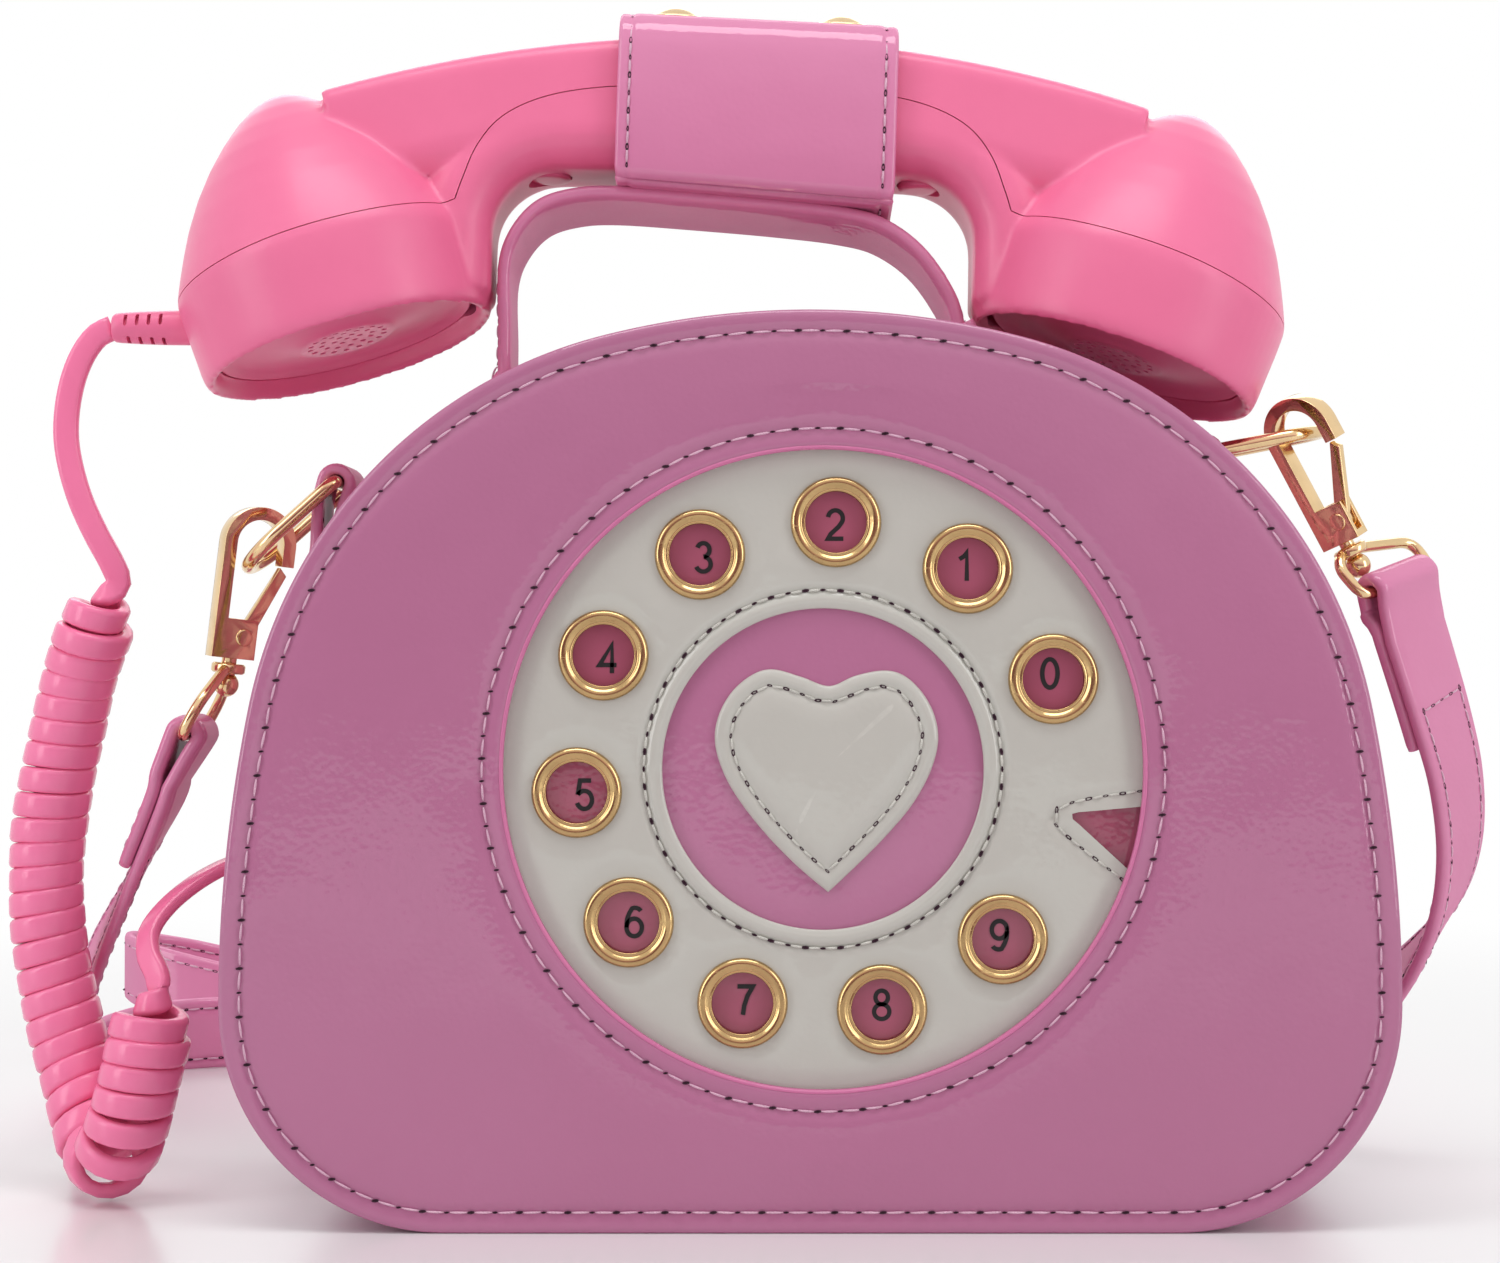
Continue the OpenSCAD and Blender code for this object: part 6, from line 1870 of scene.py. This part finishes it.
zipY, zipHalf = gussetMake["zipY"], gussetMake["zipHalf"]
everyStation = range(len(rimNow))
highStations = [i for i in everyStation if rimNow[i].y > gussetMake["bottom"] + 0.4]
lowStations = [i - len(rimNow) for i in everyStation if i > len(rimNow) / 2 and rimNow[i].y < gussetMake["bottom"]]
lowStations += [i for i in everyStation if i < len(rimNow) / 2 and rimNow[i].y < gussetMake["bottom"]]
rearSeam, frontSeam = zipY + zipHalf + 2.4, zipY - zipHalf - 2.4
rearHoop = hoopPart("rearGusset", gussetSection(zipY + zipHalf, gussetMake["back"], [rearSeam]), everyStation, True)
tray = hoopPart("baseTray", gussetSection(gussetMake["front"], zipY + zipHalf - 0.02, []), lowStations, False)
rearGusset = tidyNormals(joined("rearGussetLeather", [rearHoop, tray]))
place(rearGusset, "panel", "bag", "patent_panel", "rear_gusset")
frontSection = gussetSection(-gussetMake["back"], zipY - zipHalf, [frontSeam])
frontGusset = tidyNormals(hoopPart("frontGussetLeather", frontSection, highStations, False))
place(frontGusset, "panel", "front_cover", "patent_panel", "front_gusset")


def rimSeam(name, y, body, stations, closed=False):
    line = [rimPoint(i, gussetMake["lip"] - 0.2, y) * 1000 for i in stations]
    spaced = resample(line, 4.4, closed)
    outs = []
    for p in spaced:
        k = min(stations, key=lambda i: (rimNow[i] - Vector((p.x, p.z))).length_squared)
        outs.append(Vector((rimOut[k].x, 0, rimOut[k].y)).normalized())
    return sewn(name, spaced, lambda i: outs[min(i, len(outs) - 1)], body, "patent_panel", pitch=4.4, closed=closed)


rimSeam("rearZipStitches", rearSeam, "bag", highStations)
rimSeam("frontZipStitches", frontSeam, "front_cover", highStations)

zipStations = [i for i in everyStation if rimNow[i].y > 32.2]
tapeIn = gussetMake["inner"] + 0.04
for name, y0, y1, body in (("rear", zipY + 2.6, zipY + zipHalf + 4, "bag"),
                           ("front", zipY - zipHalf - 4, zipY - 2.6, "front_cover")):
    inEdge = 0.25 if name == "rear" else -0.25
    section = [(y0, tapeIn + 0.1, 0), (y0 + 0.5, tapeIn, 0), (y0 + 1.2, tapeIn + 0.08, 0), ((y0 + y1) / 2, tapeIn, 0),
               (y1 - 1.2, tapeIn + 0.08, 0), (y1 - 0.5, tapeIn, 0), (y1, tapeIn + 0.1, 0), (y1, tapeIn + 0.5, 0),
               (y0, tapeIn + 0.5, 0)]
    tape = tidyNormals(hoopPart(name + "ZipTape", section, zipStations, False))
    place(tape, "tape", body, "zip_tape", "zip_tape_" + name)


def zipTeeth(name, side):
    # clamped metal teeth, the two rows half a pitch apart
    spaced = resample([rimPoint(i, 3.5, 0) * 1000 for i in zipStations], gussetMake["teethPitch"])
    verts, faces = [], []
    for p, t in list(zip(spaced, tangents(spaced)))[1:-1]:
        out = Vector((-t.z, 0, t.x))
        out = out if out.dot(p - Vector((0, 0, 86))) > 0 else -out
        at = p + t * (0.25 if side > 0 else -0.25) * gussetMake["teethPitch"]
        loops = []
        # (across from the zip's middle, half length, half height)
        for across, long, tall in ((0.12, 0.3, 0.5), (0.3, 0.42, 0.72), (0.9, 0.44, 0.78), (1.15, 0.34, 0.62),
                                   (2.0, 0.44, 0.9), (2.75, 0.44, 0.95), (3.0, 0.34, 0.8)):
            spots = [at + t * long * a + out * tall * b
                     for a, b in ((1, 0.55), (0.55, 1), (-0.55, 1), (-1, 0.55), (-1, -0.55), (-0.55, -1), (0.55, -1),
                                  (1, -0.55))]
            loops.append([Vector((v.x, zipY + side * across, v.z)) / 1000 for v in spots])
        stack(verts, faces, loops)
    return smoothByAngle(tidyNormals(addMesh(name, verts, faces)), 40)


place(zipTeeth("rearTeeth", 1), "satinGold", "bag", "gold_hardware", "zip_teeth_rear")
place(zipTeeth("frontTeeth", -1), "satinGold", "front_cover", "gold_hardware", "zip_teeth_front")
softened("zipSliderCast", "zip_slider", "gold", "zip_slider", width=0.22)
softened("zipPullTab", "zip_pull", "gold", "zip_pull", width=0.3)
report("gussets and zip")


# inside and underneath

def clothPanel(name, y, away, seed):
    # quilt-thin cloth against a panel; away is the side that shows
    thick, inset, puff = liningMake["thick"], liningMake["inset"], liningMake["puff"]

    def depth(x, z, rim):
        d = rim - inset
        return y + away * (thick + puff * smoothStep(0, 12, d) * (0.6 + noise.noise(Vector((x / 30, z / 30, seed))))
                           - seamDip(d - liningMake["seam"], 0.6, 0.25))

    edge = [(inset, y), (inset, y + away * (thick - 0.15)), (inset + 0.2, y + away * thick)]
    edge += [(inset + d, None) for d in (1.2, 2.4, 3.0, 3.6, 5, 8, 13, 20)]
    return roundSkin(name, 200, edge, 12, depth)


liningMake = {"thick": 0.8, "inset": 5.8, "puff": 0.5, "seam": 3.0}
rearBox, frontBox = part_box("rear_lining"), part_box("front_lining")
rearY, frontY = rearBox[1][1] * 1000, frontBox[0][1] * 1000
place(clothPanel("rearLiningCloth", rearY, -1, 12.0), "lining", "bag", "lining_cloth", "rear_lining")
place(clothPanel("frontLiningCloth", frontY, 1, 15.0), "lining", "front_cover", "lining_cloth",
      "front_lining")

pocketMake = {"width": 120.0, "height": 70.0, "low": 34.0, "slack": 3.0}


def pocketCloth():
    # patch pocket: sewn down on three sides, slack at the mouth
    verts, faces = [], []
    columns, rows = 48, 28
    wide, base = columns + 1, rearBox[0][1] * 1000
    for layer in (0, 1):
        for j in range(rows + 1):
            for i in range(wide):
                u, v = 2 * i / columns - 1, j / rows
                hold = smoothStep(0, 0.16, 1 - abs(u)) * smoothStep(0, 0.2, v)
                out = 0.9 + pocketMake["slack"] * hold * (0.45 + 0.55 * v)
                out += 0.5 * hold * noise.noise(Vector((u * 3, v * 3, 4.0)))
                if abs(v - 0.9) < 0.03:
                    out -= 0.15
                z = pocketMake["low"] + v * pocketMake["height"] - 1.6 * (1 - u * u) * smoothStep(0.7, 1, v)
                verts.append(mm(u * pocketMake["width"] / 2, base - out + layer * 0.7, z))
    size = wide * (rows + 1)
    for a in (j * wide + i for j in range(rows) for i in range(columns)):
        faces += [(a, a + 1, a + wide + 1, a + wide), (a + size, a + size + wide, a + size + wide + 1, a + size + 1)]
    rim = list(range(columns)) + [columns + wide * j for j in range(rows)]
    rim += [rows * wide + i for i in range(columns, 0, -1)] + [wide * j for j in range(rows, 0, -1)]
    faces += [(a, b, b + size, a + size) for a, b in zip(rim, rim[1:] + rim[:1])]
    return tidyNormals(addMesh("pocketCloth", verts, faces)), base


pocket, pocketBase = pocketCloth()
place(pocket, "lining", "bag", "lining_cloth", "inner_pocket")
side, low, top = pocketMake["width"] / 2 - 2, pocketMake["low"] + 2, pocketMake["low"] + pocketMake["height"] - 2
pocketSeam = [Vector((x, pocketBase - 1.0, z)) for x, z in ((-side, top), (-side, low), (side, low), (side, top))]
sewn("pocketStitches", bentLine(pocketSeam, 4), towardsFront, "bag", "lining_cloth", pitch=3.0, radius=0.22,
     gapHoles=False)


def leatherSlab(name, halfX, y0, y1, z0, z1):
    # flat rectangular piece with rounded corners and a sewn edge on its underside
    loops = []
    cy, u0, v0 = (y0 + y1) / 2, halfX - 6, (y1 - y0) / 2 - 6
    for d, z in ((3, z1), (0.2, z1), (0, z1 - 0.3), (0, z0 + 0.4), (0.3, z0 + 0.12), (1.0, z0), (2.6, z0 + 0.02),
                 (3.4, z0 + 0.3), (4.0, z0 + 0.34), (4.6, z0 + 0.3), (5.4, z0 + 0.04), (12, z0), (30, z0)):
        r, k = 6 - min(d, 5), max(0, d - 5)
        corners = cornerArcs([(u0, v0, r, 0), (-u0, v0, r, 90), (-u0, -v0, r, 180), (u0, -v0, r, 270)], 6)
        loops.append([mm(u - math.copysign(min(k, abs(u)), u), cy + v - math.copysign(min(k, abs(v)), v), z)
                      for u, v in corners])
    return tidyNormals(rings(name, loops))


patchLow, patchHigh = (Vector(corner) * 1000 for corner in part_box("base_patch"))
patch = leatherSlab("basePatchLeather", patchHigh.x, patchLow.y, patchHigh.y, 0.25, patchHigh.z)
place(patch, "panel", "bag", "patent_panel", "base_patch")
patchSeam = [Vector((x, y, 0.5)) for x, y in ((0, patchLow.y + 4), (patchHigh.x - 4, patchLow.y + 4),
                                             (patchHigh.x - 4, patchHigh.y - 4), (-patchHigh.x + 4, patchHigh.y - 4),
                                             (-patchHigh.x + 4, patchLow.y + 4), (0, patchLow.y + 4))]
sewn("patchStitches", bentLine(patchSeam, 3)[:-1], Vector((0, 0, -1)), "bag", "patent_panel", closed=True, pitch=4.4)
softened("baseBoardCut", "base_board", "stiffener", "bag", 0.5, "board")
softened("cordEyelet", "cord_eyelet", "gold", "bag", 0.3)

nodeFinish = {"earpiece_speaker": "dark", "microphone": "dark", "circuit_board": "boardGreen",
              "handset_screw": "steel"}
for node, which in nodeFinish.items():
    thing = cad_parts[node]
    if not thing.material_slots:
        thing.data.materials.append(finish[which])
    for slot in thing.material_slots:
        slot.material = finish[which]
report("inside and underneath")
